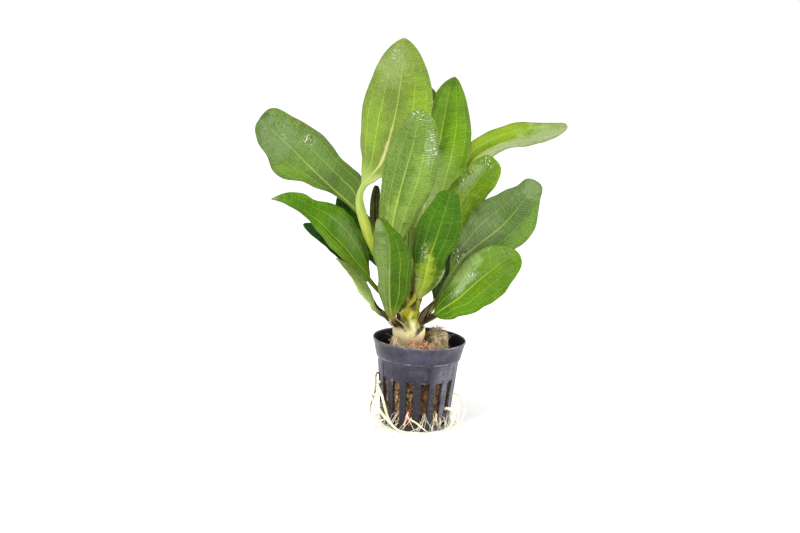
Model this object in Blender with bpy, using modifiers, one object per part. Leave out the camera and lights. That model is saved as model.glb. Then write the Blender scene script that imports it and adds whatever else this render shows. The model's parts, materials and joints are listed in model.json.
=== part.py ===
"""Potted echinodorus: a young sword plant whose crown stands in a rock wool plug in a slotted net pot.

Blender units are metres and +Z is up. The origin is on the pot's axis, at the underside of its base,
and the front of the plant faces -Y. The dimensions below are in millimetres and are scaled by MM.
"""
import math

import bmesh
import bpy
import numpy as np
from mathutils import Matrix, Vector

MM = 0.001
GAP = 0.3

# Net pot
POT_HEIGHT = 52.0
RIM_RADIUS = 27.5
LIP_HEIGHT = 1.6
LIP_PROUD = 0.45
COLLAR_HEIGHT = 11.0
COLLAR_FOOT_RADIUS = 24.9
BODY_TOP_RADIUS = 24.0
BASE_RADIUS = 20.0
BASE_BEVEL = 0.8
WALL = 1.2
FLOOR = 1.4
POT_STEPS = 48
SLOT_COUNT = 16
SLOT_WIDTH = 4.8
SLOT_BOTTOM = 2.6
SLOT_TOP = 30.5
FIRST_SLOT_ANGLE = -10.0
FLUTE_DEPTH = 0.35
FLUTE_TOP = 38.6
DRAIN_COUNT = 8
DRAIN_WIDTH = 2.4
DRAIN_INNER = 6.5
DRAIN_OUTER = 15.5

# Rock wool plug
PLUG_SEGMENTS = 20
PLUG_WALL_CLEARANCE = 0.8
PLUG_TOP = 48.3
PLUG_TOP_RADIUS = 17.6
MOUND_CENTRE = (10.5, 6.0)
MOUND_RADIUS = 9.5
MOUND_HEIGHT = 9.0
RISE_CENTRE = (-14.5, -7.5)
RISE_RADIUS = 4.6
RISE_HEIGHT = 6.2
PLUG_LUMP = 0.45

# Crown
CROWN_AXIS = (-6.5, -2.0)
CROWN_FOOT = 44.0
CROWN_STEPS = 16
SHEATH_HALF_WIDTH = 4.2
SHEATH_HALF_THICKNESS = 1.7

# Leaves
PETIOLE_HALF_THICKNESS = 1.25
BLADE_HALF_THICKNESS = 0.45
SPINE_SAMPLES = 400
PETIOLE_RINGS = 5
BLADE_RINGS = 10
TIP_CROWDING = 1.5

# Points round a leaf: share of the half width and of the half thickness.
LEAF_SECTION = ((-1, 0), (-0.5, 0.8), (0, 1), (0.5, 0.8), (1, 0), (0.5, -0.8), (0, -1), (-0.5, -0.8))

# Each spine runs from inside the crown to the leaf's tip. joins is the length of it that the crown holds,
# and blade is where along it, from 0 to 1, the blade starts. rise and tip shape the outline: the lower the
# rounder. face says which way the upper side looks, at shares of the length. skew, at the blade's base and
# tip, widens the half on the side's positive hand. fold lifts both halves to a V, droop bends their edges
# back down, wave ruffles them and ripple makes the outline uneven. edges says, at shares of the blade, how
# many mm further out the edge stands on the side's negative hand and on its positive.
LEAVES = (
    dict(name="leaf_tall_back", colour="lime",
         spine=((-10, -5, 66), (-13, -9, 76), (-18, -12.5, 84.5), (-25.5, -14, 96), (-31.3, -14, 108.5),
                (-36, -13.5, 121.5), (-38.8, -12.8, 130), (-39.4, -12, 137), (-37, -10, 142.5),
                (-33.5, -7, 147), (-29.3, -3.5, 153), (-25, 1, 167), (-22, 5, 182), (-20, 8, 202),
                (-19.4, 9, 225.5)),
         joins=16, blade=0.48, width=37.5, rise=0.8, tip=0.66, petiole=3.0,
         face=((0, (-0.6, -0.8, 0.1)), (0.24, (-0.95, -0.3, 0)), (0.36, (-0.1, -1, 0)),
               (0.47, (-0.9, -0.5, 0)), (0.58, (0, -1, 0.1)), (1, (0.1, -0.97, 0.1))),
         edges=((0, 0, 0), (0.05, 0, -0.5), (0.1, 0, -3.2), (0.16, 0, -2), (0.25, 0, 0), (1, 0, 0)),
         skew=(-0.02, -0.02), fold=0.10, droop=0.10, wave=0.5, ripple=0.02),
    dict(name="leaf_front_centre", colour="leaf",
         spine=((-7, -6, 66), (-8, -9.5, 76), (-11.5, -13, 88), (-16, -17, 102), (-19.5, -20, 120),
                (-17.4, -22, 136.6), (-14.4, -24, 152.4), (-11.3, -25, 166.3), (-9.3, -24, 179.2),
                (-8.4, -21, 188.5)),
         joins=15, blade=0.36, width=30.5, rise=0.6, tip=0.5, petiole=1.7,
         face=((0, (0.1, 0.9, 0.3)), (1, (0.1, 0.95, 0))),
         edges=((0, 0, 0), (0.2, -0.7, -1), (0.3, -2, -1.3), (0.4, -1, -1), (0.5, -0.7, 0), (0.9, -0.8, 0),
                (1, 0, 0)),
         skew=(-0.17, -0.17), fold=0.14, droop=0.06, wave=0.4, ripple=0.02),
    dict(name="leaf_right_centre", colour="leaf",
         spine=((-5, 1, 68), (-6, 3, 80), (-5, 7, 106), (-2, 10, 130), (2.2, 13, 154), (5.2, 14, 170),
                (7.2, 14, 187), (9, 13, 198.6), (11, 11, 205)),
         joins=16, blade=0.34, width=33, rise=0.55, tip=0.64, petiole=1.7,
         face=((0, (0.3, -0.95, 0.1)), (1, (0.3, -0.95, 0.1))),
         skew=(0.2, 0.12), fold=0.16, droop=0.05, wave=0.5, ripple=0.02),
    dict(name="leaf_right_arch", colour="lime",
         spine=((-2, 1, 66), (-0.8, 4, 78), (3.5, 9, 100), (8.6, 13, 118), (16, 18, 140), (25.6, 22, 157),
                (37.6, 24, 165.5), (48.6, 25, 170), (60, 25, 173), (73, 24, 176.5), (79, 22, 179.5)),
         joins=17, blade=0.42, width=23, rise=0.7, tip=0.58, petiole=1.6,
         face=((0, (-0.5, 0.8, 0.3)), (1, (-0.3, 0.75, 0.59))),
         edges=((0, 0, 0), (0.4, -1.5, 0), (0.5, -3, 0), (0.6, -4, 0), (0.65, -2, 0.5), (0.7, -0.3, 0.9),
                (0.8, 0, 0), (1, 0, 1.5)),
         skew=(0, -0.16), fold=0.26, droop=0.06, wave=0.4, ripple=0.02),
    dict(name="leaf_right_small", colour="leaf",
         spine=((-3, -1, 70), (-1, 0, 80), (3, 2, 94), (7.2, 4, 106), (13.6, 5, 120.5), (19, 5, 132),
                (24, 4, 141), (30, 3, 150), (38, 3, 159)),
         joins=13, blade=0.40, width=24, rise=0.6, tip=0.42, petiole=1.5,
         face=((0, (-0.25, -0.93, 0.2)), (1, (-0.25, -0.93, 0.2))),
         edges=((0, 0, 0), (0.4, 0, -3.5), (0.6, 0, -3.2), (0.7, -1, -3.2), (0.8, 0.8, -1.5),
                (0.9, 1, -1), (1, 2.2, 0)),
         skew=(0.1, 0.16), fold=0.16, droop=0.10, wave=0.6, ripple=0.02),
    dict(name="leaf_right_large", colour="grey",
         spine=((-1, -3, 62), (2.5, -3.5, 66), (5.7, -4, 70.5), (9.6, -5, 77), (13, -6, 85),
                (16.8, -7.5, 94), (21.5, -9, 102.5), (28.4, -10, 110),
                (41.2, -12, 122), (47.5, -12, 129.3), (54.2, -11, 138.9), (61.5, -8, 150)),
         joins=15, blade=0.33, width=35.5, rise=0.75, tip=0.46, petiole=1.7,
         face=((0, (-0.3, -0.88, 0.35)), (1, (-0.3, -0.88, 0.35))),
         edges=((0, 0, 0), (0.3, 0, 0), (0.4, 1.5, 0), (0.5, 0, 0.5), (0.6, -2, 1), (0.7, -4.3, 0.5),
                (0.8, -6.2, -1.2), (0.9, -7.3, -2.4), (1, -1, 0)),
         skew=(0.05, -0.25), fold=0.10, droop=0.10, wave=0.9, ripple=0.02),
    dict(name="leaf_right_low", colour="leaf",
         spine=((0, -6, 61), (5, -8.5, 65.5), (9.6, -11, 69.8), (14.4, -14.5, 74.7), (20.5, -20, 81.3),
                (27.8, -25, 90.1), (35, -29.5, 98.5), (42, -31, 105.3), (52.3, -30, 112)),
         joins=11, blade=0.15, width=31, rise=0.55, tip=0.4, petiole=1.9,
         face=((0, (-0.35, -0.75, 0.45)), (1, (-0.35, -0.8, 0.45))),
         edges=((0, 0, -1.0), (0.1, 0, -1.4), (0.16, 0, -1.6), (0.24, 0, -3.2), (0.3, 0, -2.8),
                (0.4, 0, -0.6), (0.5, 0, 0), (0.75, 0, 0.5), (0.86, -0.6, 0.3), (0.94, -2.0, 0),
                (1, -2.0, 0)),
         skew=(0, 0), fold=0.10, droop=0.12, wave=0.9, ripple=0.02),
    dict(name="leaf_front_right", colour="deep",
         spine=((-4, -6, 66), (-2.5, -9.5, 76), (-0.5, -14, 85), (1, -21, 96), (2.6, -28, 107),
                (5, -33, 117), (7.2, -36, 127), (9.5, -36, 136.5), (11.4, -34, 145.3)),
         joins=13, blade=0.16, width=25.5, rise=0.62, tip=0.38, petiole=1.9,
         face=((0, (0, 0.82, 0.55)), (1, (0, 0.9, 0.3))),
         edges=((0, 0, 0), (0.3, 0.5, -2.5), (0.4, -1.8, -1.8), (0.5, -2.3, -0.6), (0.6, 0, -0.5),
                (0.7, 0.4, 0), (0.8, -0.6, -0.8), (0.9, -1.7, -1.6), (1, 0.5, 0)),
         skew=(0, 0), fold=0.14, droop=0.05, wave=0.4, ripple=0.02),
    dict(name="leaf_front_left", colour="leaf",
         spine=((-11, -8, 58), (-16, -12, 64.5), (-18, -17, 73), (-19.3, -25, 87), (-19.8, -33, 101),
                (-21, -38, 115), (-24, -39, 123.7), (-27.3, -38, 128.6)),
         joins=9, blade=0.14, width=24, rise=0.62, tip=0.48, petiole=2.0,
         face=((0, (0, 0.86, 0.5)), (1, (0, 0.95, 0.2))),
         edges=((0, 0, 0), (0.1, -1, -1.5), (0.3, -0.5, -1.4), (0.4, -1.4, -2.5), (0.5, -1.8, -2.5),
                (0.6, -1, -2), (0.7, -1.8, -0.4), (0.8, -3.3, 0), (0.9, -5, 0), (1, -1.5, 0)),
         skew=(-0.3, -0.08), fold=0.16, droop=0.05, wave=0.4, ripple=0.02),
    dict(name="leaf_left_upper", colour="grey",
         spine=((-12, -2, 68), (-15, -4, 76), (-19.5, -6, 90), (-25, -6, 104), (-32.5, -4, 117),
                (-38, -3, 123.5), (-43.8, -3, 128.6), (-52.3, -4, 135.6), (-60.6, -6, 142.8),
                (-68.8, -8, 150.4), (-77.6, -10, 158.8), (-86.4, -12, 166.8), (-93.4, -13, 173.2),
                (-98.6, -13, 176.5)),
         joins=12, blade=0.41, width=32, rise=0.72, tip=0.4, petiole=1.7,
         face=((0, (-0.1, -0.9, 0.3)), (1, (-0.15, -0.9, 0.3))),
         edges=((0, 0, 0), (0.1, -4, 0), (0.2, -6, 3.5), (0.3, -6, 0.8), (0.4, -4, -0.7), (0.5, -3.7, 0),
                (0.6, 1.5, -0.5), (0.7, 3, -1.5), (0.8, -1, -0.5), (0.9, -1.5, 0), (1, 0, 1.5)),
         skew=(0.34, 0.0), fold=0.08, droop=0.08, wave=1.1, ripple=0.05),
    dict(name="leaf_left_middle", colour="deep",
         spine=((-11, -4, 64), (-15, -6, 70), (-19.5, -9, 76), (-26.4, -13, 82.5), (-33, -17, 90.6),
                (-38, -19, 96.6), (-47, -23, 108.4), (-53.5, -25, 114.8), (-59.3, -26, 120.3),
                (-66.4, -26, 125.5), (-73.3, -26, 129.4), (-81.4, -25, 132.4), (-89, -23, 133)),
         joins=14, blade=0.31, width=28, rise=0.5, tip=0.85, petiole=1.6,
         face=((0, (0.2, -0.55, 0.8)), (1, (0.2, -0.55, 0.8))),
         edges=((0, 0, 0), (0.05, -3, -0.5), (0.1, -5.5, 0.5), (0.2, -3, -1), (0.3, -0.5, -2), (0.4, 0, 0),
                (0.5, -2, 0), (0.6, -2, -0.5), (0.7, -3, -2.5), (0.8, -3, 0), (1, 0, 0)),
         skew=(0.34, 0.3), fold=0.26, droop=0.08, wave=0.6, ripple=0.02),
    dict(name="leaf_left_behind", colour="dark",
         spine=((-11, 1, 67), (-14, 3, 75), (-18.5, 5, 84), (-24, 6, 94), (-32, 7, 104),
                (-40.5, 8, 114), (-47.5, 9, 123.4), (-53, 9, 131.9)),
         joins=12, blade=0.38, width=20, rise=0.8, tip=0.8, petiole=1.5,
         face=((0, (0.2, -0.8, 0.5)), (1, (0.1, -0.85, 0.5))),
         skew=(0, 0), fold=0.16, droop=0.10, wave=0.5, ripple=0.02),
    dict(name="leaf_left_low", colour="dark",
         spine=((-14, -1, 60), (-18.7, -1.5, 63.9), (-22.3, -2, 66.2), (-25.6, -2.5, 68.6), (-28.5, -3, 72.7),
                (-31.4, -3.5, 78.3), (-35.7, -4.5, 86.6), (-41.9, -5, 96.1), (-54, -7, 106.7),
                (-63.6, -8, 113.4), (-71.2, -8, 117)),
         joins=8, blade=0.40, width=17, rise=0.8, tip=0.6, petiole=1.4,
         face=((0, (0.3, -0.4, 0.85)), (1, (0.3, -0.4, 0.85))),
         skew=(0, 0), fold=0.16, droop=0.12, wave=0.4, ripple=0.02),
    dict(name="leaf_left_pale", colour="grey",
         spine=((-13.5, -4.5, 57), (-17.9, -6.5, 62.3), (-20.7, -8.5, 65.6), (-24.3, -10.5, 67.9),
                (-27.3, -12.5, 70.8), (-30, -14, 74.8), (-34.8, -16, 81), (-40.8, -17, 89.6),
                (-46.3, -17, 96), (-51, -16, 100)),
         joins=10, blade=0.34, width=17, rise=0.7, tip=1.1, petiole=1.5,
         face=((0, (0.8, -0.15, 0.57)), (1, (0.75, -0.3, 0.57))),
         skew=(0, 0), fold=0.30, droop=0.05, wave=0.4, ripple=0.02),
    dict(name="leaf_young_brown", colour="brown",
         spine=((-9, 1, 70), (-12.3, 1, 80), (-17.5, 1, 90), (-25, 1, 104), (-31, 1, 121), (-31.5, 1.5, 132),
                (-30.8, 2.5, 140.5)),
         joins=13, blade=0.5, width=6.6, rise=0.5, tip=0.3, petiole=1.4,
         face=((0, (0.5, -0.85, 0)), (1, (0.5, -0.85, 0))),
         skew=(0, 0), fold=0.5, droop=0.0, wave=0.1, ripple=0.0),
    dict(name="leaf_back_top", colour="dark",
         spine=((-7, 3, 70), (-7.5, 6, 82), (-8, 14, 108), (-8, 22, 142), (-6.5, 28, 171),
                (-4.8, 31, 188), (-4.4, 32, 197)),
         joins=14, blade=0.38, width=25, rise=0.7, tip=0.5, petiole=1.6,
         face=((0, (0, -0.95, 0.3)), (1, (0, -0.95, 0.2))),
         skew=(0, 0), fold=0.14, droop=0.10, wave=0.5, ripple=0.02),
    dict(name="leaf_right_behind", colour="dark",
         spine=((-1, 1, 60), (4.5, 4, 67), (9.3, 5, 75), (14, 8, 86), (18.3, 11, 96.4), (22, 14, 104.5),
                (30, 17, 113), (37, 19, 120)),
         joins=12, blade=0.22, width=24, rise=0.7, tip=0.7, petiole=1.6,
         face=((0, (-0.3, -0.85, 0.4)), (1, (-0.3, -0.8, 0.5))),
         skew=(0, 0), fold=0.14, droop=0.10, wave=0.5, ripple=0.02),
    dict(name="leaf_back_left", colour="leaf",
         spine=((-11, 3, 61), (-12.5, 7, 68), (-15.5, 13, 78), (-22, 20, 89), (-32, 28, 96), (-43, 38, 100),
                (-54, 46, 102), (-63, 52, 102)),
         joins=10, blade=0.30, width=26, rise=0.65, tip=0.5, petiole=1.6,
         face=((0, (0.45, -0.4, 0.8)), (1, (0.1, -0.1, 1))),
         skew=(0, 0), fold=0.16, droop=0.14, wave=0.9, ripple=0.03),
    dict(name="leaf_back_right", colour="leaf",
         spine=((-3, 2, 61), (1, 5, 63.5), (5, 10, 67), (10, 17, 72.5), (16, 26, 80), (23, 36, 89.5),
                (30, 46, 98), (36, 54, 103), (41, 59, 105)),
         joins=10, blade=0.30, width=26, rise=0.65, tip=0.5, petiole=1.6,
         face=((0, (-0.3, -0.45, 0.85)), (1, (-0.1, -0.2, 1))),
         skew=(0, 0), fold=0.14, droop=0.14, wave=0.9, ripple=0.03),
    dict(name="leaf_back_centre", colour="deep",
         spine=((-7, 5, 61), (-8, 10, 70), (-10, 22, 90), (-11, 36, 112), (-11, 46, 130),
                (-10, 53, 143), (-9, 57, 150)),
         joins=11, blade=0.32, width=29, rise=0.65, tip=0.5, petiole=1.7,
         face=((0, (0, -0.75, 0.65)), (1, (0, -0.6, 0.8))),
         skew=(0, 0), fold=0.12, droop=0.14, wave=0.8, ripple=0.03),
)

# Dead sheaths that stand off the crown, each a spine with its half width at the foot.
OLD_SHEATHS = (
    dict(spine=((-1, -5, 60), (2, -7, 67), (5, -8.5, 71.5), (7.2, -9, 75.5)), foot=3.6),
    dict(spine=((-12.5, -7, 60), (-15.5, -9.5, 65), (-17.3, -10.8, 69)), foot=3.2),
    dict(spine=((-6, 3, 57), (-4.5, 8, 61.5), (-3.5, 11, 63)), foot=3.2),
)

LEAF_COLOURS = {
    "lime": (0.33, 0.50, 0.06),
    "leaf": (0.15, 0.32, 0.04),
    "deep": (0.06, 0.20, 0.015),
    "dark": (0.03, 0.11, 0.015),
    "grey": (0.16, 0.29, 0.10),
    "brown": (0.09, 0.08, 0.02),
}

# Roots that leave the slots. Each point is the angle from the front in degrees (positive to the right),
# the distance from the pot's axis and the height.
ROOTS = (
    dict(name="root_left_long", diameter=1.5,
         path=((-77.5, 21.6, 25), (-75, 23.6, 24), (-66, 24.2, 23), (-56, 24, 19), (-49, 23.3, 12),
               (-42, 23, 7), (-33, 23.2, 3.4), (-24, 23.4, 1.6))),
    dict(name="root_left_cross", diameter=1.6,
         path=((-77.5, 20.6, 17), (-79, 23.6, 17), (-78, 26.6, 16.6), (-68, 27, 15), (-54, 26, 11),
               (-38, 25.6, 6.5), (-24, 26, 2.8), (-11, 27, 1.1))),
    dict(name="root_left_edge", diameter=1.3,
         path=((-100, 21.8, 27.5), (-97, 23.8, 28.3), (-90, 24.4, 27), (-87, 24.2, 22.5), (-87, 24.4, 17.5),
               (-91, 25.6, 12), (-98, 26.8, 6), (-106, 27.6, 1.2))),
    dict(name="root_floor_loop", diameter=0.9,
         path=((-55, 19.6, 5), (-56, 22.5, 4.2), (-60, 25.5, 2), (-52, 29, 0.9), (-38, 30.5, 0.9),
               (-23, 31, 0.9), (-10, 31, 0.9))),
    dict(name="root_right_loop", diameter=0.8,
         path=((80, 21, 20), (80, 24, 20), (78, 27.5, 18), (76, 30, 13), (72, 29.5, 7), (64, 27.5, 2.5),
               (54, 29, 0.8))),
    dict(name="root_right_short", diameter=1.6,
         path=((57.5, 20.2, 13), (57.5, 22.8, 13.4), (60, 25, 12.6), (63, 25.4, 10), (60, 24.4, 7.6))),
    dict(name="root_front_small", diameter=0.9,
         path=((-8.5, 19.6, 8), (-6, 21.9, 8), (2, 22.6, 6.5), (12, 22.6, 3.4), (20, 23.2, 1.2))),
    dict(name="root_front_pink", diameter=1.2,
         path=((-11.5, 19.7, 11.5), (-12, 21.8, 10.5), (-13.5, 22.5, 7), (-16, 22.5, 3.5))),
    dict(name="root_front_curl", diameter=1.4,
         path=((35, 19.8, 12), (34, 22, 11), (32, 23.2, 8), (36, 23.4, 5), (41, 22.8, 6.5), (40, 22.2, 9))),
    dict(name="root_back_long", diameter=1.3,
         path=((147.5, 19.9, 14), (148, 22.8, 13.5), (155, 24, 9), (165, 24.6, 4), (178, 26.5, 1),
               (196, 29, 0.9), (214, 30, 0.9))),
    dict(name="root_back_cross", diameter=1.5,
         path=((192.5, 20.4, 22), (191, 23.8, 21), (182, 24.8, 17), (172, 26.4, 11), (160, 27.4, 5),
               (148, 28.5, 1.2), (136, 30, 1))),
    dict(name="root_back_right", diameter=1.1,
         path=((102.5, 20.2, 10), (103, 22.8, 9), (108, 24, 5), (116, 26.5, 1.2), (126, 28, 0.9))),
)

ROOT_STEP = 3.8
ROOT_COLOURS = {
    "root_front_pink": (0.62, 0.27, 0.22),
    "root_front_curl": (0.42, 0.25, 0.10),
    "root_left_edge": (0.50, 0.36, 0.17),
}
ROOT_COLOUR = (0.78, 0.68, 0.42)


def clear_scene():
    for thing in list(bpy.data.objects):
        bpy.data.objects.remove(thing, do_unlink=True)


def new_collection(name):
    collection = bpy.data.collections.new(name)
    bpy.context.scene.collection.children.link(collection)
    return collection


def material(name, colour, roughness, metallic=0.0):
    made = bpy.data.materials.new(name)
    made.use_nodes = True
    shader = made.node_tree.nodes["Principled BSDF"]
    shader.inputs["Base Color"].default_value = (*colour, 1.0)
    shader.inputs["Roughness"].default_value = roughness
    shader.inputs["Metallic"].default_value = metallic
    made.diffuse_color = (*colour, 1.0)
    return made


def add_object(name, data, collection, finish=None):
    thing = bpy.data.objects.new(name, data)
    collection.objects.link(thing)
    if finish:
        data.materials.append(finish)
    return thing


def mark_cutter(thing):
    thing.hide_render = True
    thing.display_type = "WIRE"
    return thing


def turned_object(name, profile, steps, collection, finish=None):
    """A profile of (radius, height) pairs in mm, turned about the Z axis."""
    mesh = bpy.data.meshes.new(name)
    points = [(radius * MM, 0.0, height * MM) for radius, height in profile]
    edges = [(i, i + 1) for i in range(len(points) - 1)]
    mesh.from_pydata(points, edges, [])
    thing = add_object(name, mesh, collection, finish)
    screw = thing.modifiers.new("Turn", "SCREW")
    screw.axis = "Z"
    screw.steps = steps
    screw.render_steps = steps
    screw.use_merge_vertices = True
    screw.merge_threshold = 0.00001
    screw.use_smooth_shade = True
    return thing


def boolean(thing, other, operation):
    modifier = thing.modifiers.new(f"{operation.title()} {other.name}", "BOOLEAN")
    modifier.operation = operation
    modifier.object = other
    modifier.solver = "EXACT"


def joined_boxes(name, boxes, collection):
    """One cutter of separate boxes, each (size, place, turn about Z, tilt about its own Y axis)."""
    frame = bmesh.new()
    for size, place, turn, tilt in boxes:
        stand = Matrix.Rotation(turn, 4, "Z") @ Matrix.Translation(Vector(place) * MM)
        shape = Matrix.Rotation(tilt, 4, "Y") @ Matrix.Diagonal((*size, 1.0))
        bmesh.ops.create_cube(frame, size=MM, matrix=stand @ shape)
    mesh = bpy.data.meshes.new(name)
    frame.to_mesh(mesh)
    frame.free()
    return mark_cutter(add_object(name, mesh, collection))


def front_angle(degrees):
    """Turn about Z for an angle that is counted from the front, positive to the right."""
    return math.radians(degrees - 90.0)


def body_radius(height):
    """Outer radius of the pot's body below the collar."""
    share = height / (POT_HEIGHT - COLLAR_HEIGHT)
    return BASE_RADIUS + (BODY_TOP_RADIUS - BASE_RADIUS) * share


def build_pot(parts, cutters):
    collar_foot = POT_HEIGHT - COLLAR_HEIGHT
    shoulder = collar_foot - 0.6
    lip_foot = POT_HEIGHT - LIP_HEIGHT
    collar_top_radius = RIM_RADIUS - LIP_PROUD
    profile = (
        (0, FLOOR),
        (body_radius(FLOOR) - WALL, FLOOR),
        (body_radius(shoulder) - WALL, shoulder),
        (COLLAR_FOOT_RADIUS - WALL, collar_foot + 0.4),
        (collar_top_radius - WALL, POT_HEIGHT - 0.3),
        (collar_top_radius - WALL + 0.3, POT_HEIGHT),
        (RIM_RADIUS - 0.4, POT_HEIGHT),
        (RIM_RADIUS, POT_HEIGHT - 0.5),
        (RIM_RADIUS - 0.05, lip_foot + 0.3),
        (collar_top_radius - 0.15, lip_foot),
        (COLLAR_FOOT_RADIUS, collar_foot),
        (body_radius(shoulder), shoulder),
        (body_radius(BASE_BEVEL), BASE_BEVEL),
        (BASE_RADIUS - BASE_BEVEL, 0),
        (0, 0),
    )
    finish = material("pot plastic", (0.028, 0.032, 0.048), 0.45)
    pot = turned_object("net_pot", profile, POT_STEPS, parts, finish)
    pitch = 360.0 / SLOT_COUNT
    angles = [front_angle(FIRST_SLOT_ANGLE + pitch * i) for i in range(SLOT_COUNT)]
    middle = (SLOT_BOTTOM + SLOT_TOP) / 2
    slot = ((10.0, SLOT_WIDTH, SLOT_TOP - SLOT_BOTTOM), (body_radius(middle), 0, middle))
    slots = joined_boxes("slot_cutters", [(*slot, angle, 0.0) for angle in angles], cutters)
    boolean(pot, slots, "DIFFERENCE")
    lean = math.atan((BODY_TOP_RADIUS - BASE_RADIUS) / collar_foot)
    flute_middle = (SLOT_TOP + FLUTE_TOP) / 2
    flute_radius = body_radius(flute_middle) - FLUTE_DEPTH + 2.0
    flute = ((4.0, SLOT_WIDTH, FLUTE_TOP - SLOT_TOP + 1.0), (flute_radius, 0, flute_middle))
    flutes = joined_boxes("flute_cutters", [(*flute, angle, lean) for angle in angles], cutters)
    boolean(pot, flutes, "DIFFERENCE")
    drain_middle = (DRAIN_INNER + DRAIN_OUTER) / 2
    drain = ((DRAIN_OUTER - DRAIN_INNER, DRAIN_WIDTH, 6.0), (drain_middle, 0, 0))
    turns = [math.tau * i / DRAIN_COUNT + math.pi / DRAIN_COUNT for i in range(DRAIN_COUNT)]
    drains = joined_boxes("drain_cutters", [(*drain, turn, 0.0) for turn in turns], cutters)
    boolean(pot, drains, "DIFFERENCE")


def plug_radius(height):
    """The plug fills the pot behind the slots and draws in above them."""
    behind_slots = body_radius(min(height, SLOT_TOP)) - WALL - PLUG_WALL_CLEARANCE
    share = max(0.0, (height - SLOT_TOP) / (PLUG_TOP - SLOT_TOP))
    return behind_slots + (PLUG_TOP_RADIUS - behind_slots) * math.sqrt(share)


def plug_top(x, y):
    """Height of the plug's top: level, with a mound behind the crown's right and a rise at its left."""
    away = math.hypot(x - MOUND_CENTRE[0], y - MOUND_CENTRE[1]) / MOUND_RADIUS
    mound = MOUND_HEIGHT * max(0.0, 1.0 - away ** 3)
    beside = math.hypot(x - RISE_CENTRE[0], y - RISE_CENTRE[1]) / RISE_RADIUS
    rise = RISE_HEIGHT * max(0.0, 1.0 - beside ** 2)
    return PLUG_TOP + max(mound, rise) + PLUG_LUMP * math.sin(0.9 * x + 1.0) * math.cos(0.7 * y)


def build_plug(parts, cutters):
    levels = (FLOOR + GAP, 8, 16, 24, 31, 38, 44)
    shares = (0.94, 0.75, 0.5, 0.25)
    frame = bmesh.new()
    rings = []
    turns = [math.tau * i / PLUG_SEGMENTS for i in range(PLUG_SEGMENTS)]
    for height in levels:
        ring = []
        for turn in turns:
            lump = PLUG_LUMP * math.sin(3 * turn + 0.4 * height) * math.sin(5 * turn)
            radius = plug_radius(height) - abs(lump)
            place = Vector((radius * math.cos(turn), radius * math.sin(turn), height))
            ring.append(frame.verts.new(place * MM))
        rings.append(ring)
    for share in shares:
        ring = []
        for turn in turns:
            x = PLUG_TOP_RADIUS * share * math.cos(turn)
            y = PLUG_TOP_RADIUS * share * math.sin(turn)
            ring.append(frame.verts.new(Vector((x, y, plug_top(x, y))) * MM))
        rings.append(ring)
    for low, high in zip(rings, rings[1:]):
        for i in range(PLUG_SEGMENTS):
            j = (i + 1) % PLUG_SEGMENTS
            frame.faces.new((low[i], low[j], high[j], high[i]))
    centre = frame.verts.new(Vector((0, 0, plug_top(0, 0))) * MM)
    for i in range(PLUG_SEGMENTS):
        frame.faces.new((rings[-1][i], rings[-1][(i + 1) % PLUG_SEGMENTS], centre))
    frame.faces.new(reversed(rings[0]))
    mesh = bpy.data.meshes.new("rock_wool_plug")
    frame.to_mesh(mesh)
    frame.free()
    plug = add_object("rock_wool_plug", mesh, parts, material("rock wool", (0.17, 0.11, 0.06), 0.95))
    profile = (
        (0, 75),
        (22, 75),
        (16.5, 64),
        (12.6, 58),
        (crown_radius(54) + 2 * GAP, 54),
        (crown_radius(51) + 2 * GAP, 50.5),
        (crown_radius(48) + 2 * GAP, 47),
        (crown_radius(CROWN_FOOT) + 2 * GAP, CROWN_FOOT - GAP),
        (0, CROWN_FOOT - GAP),
    )
    pocket = mark_cutter(turned_object("crown_pocket", profile, CROWN_STEPS, cutters))
    pocket.location = Vector((*CROWN_AXIS, 0)) * MM
    boolean(plug, pocket, "DIFFERENCE")


CROWN_PROFILE = (
    (0, 81),
    (2.0, 80),
    (3.4, 76),
    (4.8, 71),
    (6.6, 66.5),
    (8.5, 63),
    (9.6, 60),
    (9.7, 57),
    (8.9, 53),
    (7.8, 50.5),
    (6.4, 47.5),
    (5.4, CROWN_FOOT + 1),
    (4.4, CROWN_FOOT),
    (0, CROWN_FOOT),
)


def crown_radius(height):
    heights = [point[1] for point in reversed(CROWN_PROFILE[:-1])]
    radii = [point[0] for point in reversed(CROWN_PROFILE[:-1])]
    return float(np.interp(height, heights, radii))


def smooth_between(at, marks, rows):
    """Rows between their marks, on a curve without corners."""
    slope = np.gradient(rows, marks, axis=0)
    span = np.clip(np.searchsorted(marks, at, side="right") - 1, 0, len(marks) - 2)
    step = (marks[span + 1] - marks[span])[:, None]
    t = (at - marks[span])[:, None] / step
    return ((1 + 2 * t) * (1 - t) ** 2 * rows[span] + t * (1 - t) ** 2 * step * slope[span]
            + t ** 2 * (3 - 2 * t) * rows[span + 1] + t ** 2 * (t - 1) * step * slope[span + 1])


def smooth_curve(points):
    """A smooth curve through the given points: samples of it, and the length to each sample."""
    knots = np.array(points, float)
    chord = np.concatenate(([0.0], np.cumsum(np.linalg.norm(np.diff(knots, axis=0), axis=1))))
    curve = smooth_between(np.linspace(0.0, chord[-1], SPINE_SAMPLES), chord, knots)
    length = np.concatenate(([0.0], np.cumsum(np.linalg.norm(np.diff(curve, axis=0), axis=1))))
    return curve, length


def smoothstep(value):
    value = min(1.0, max(0.0, value))
    return value * value * (3 - 2 * value)


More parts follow.
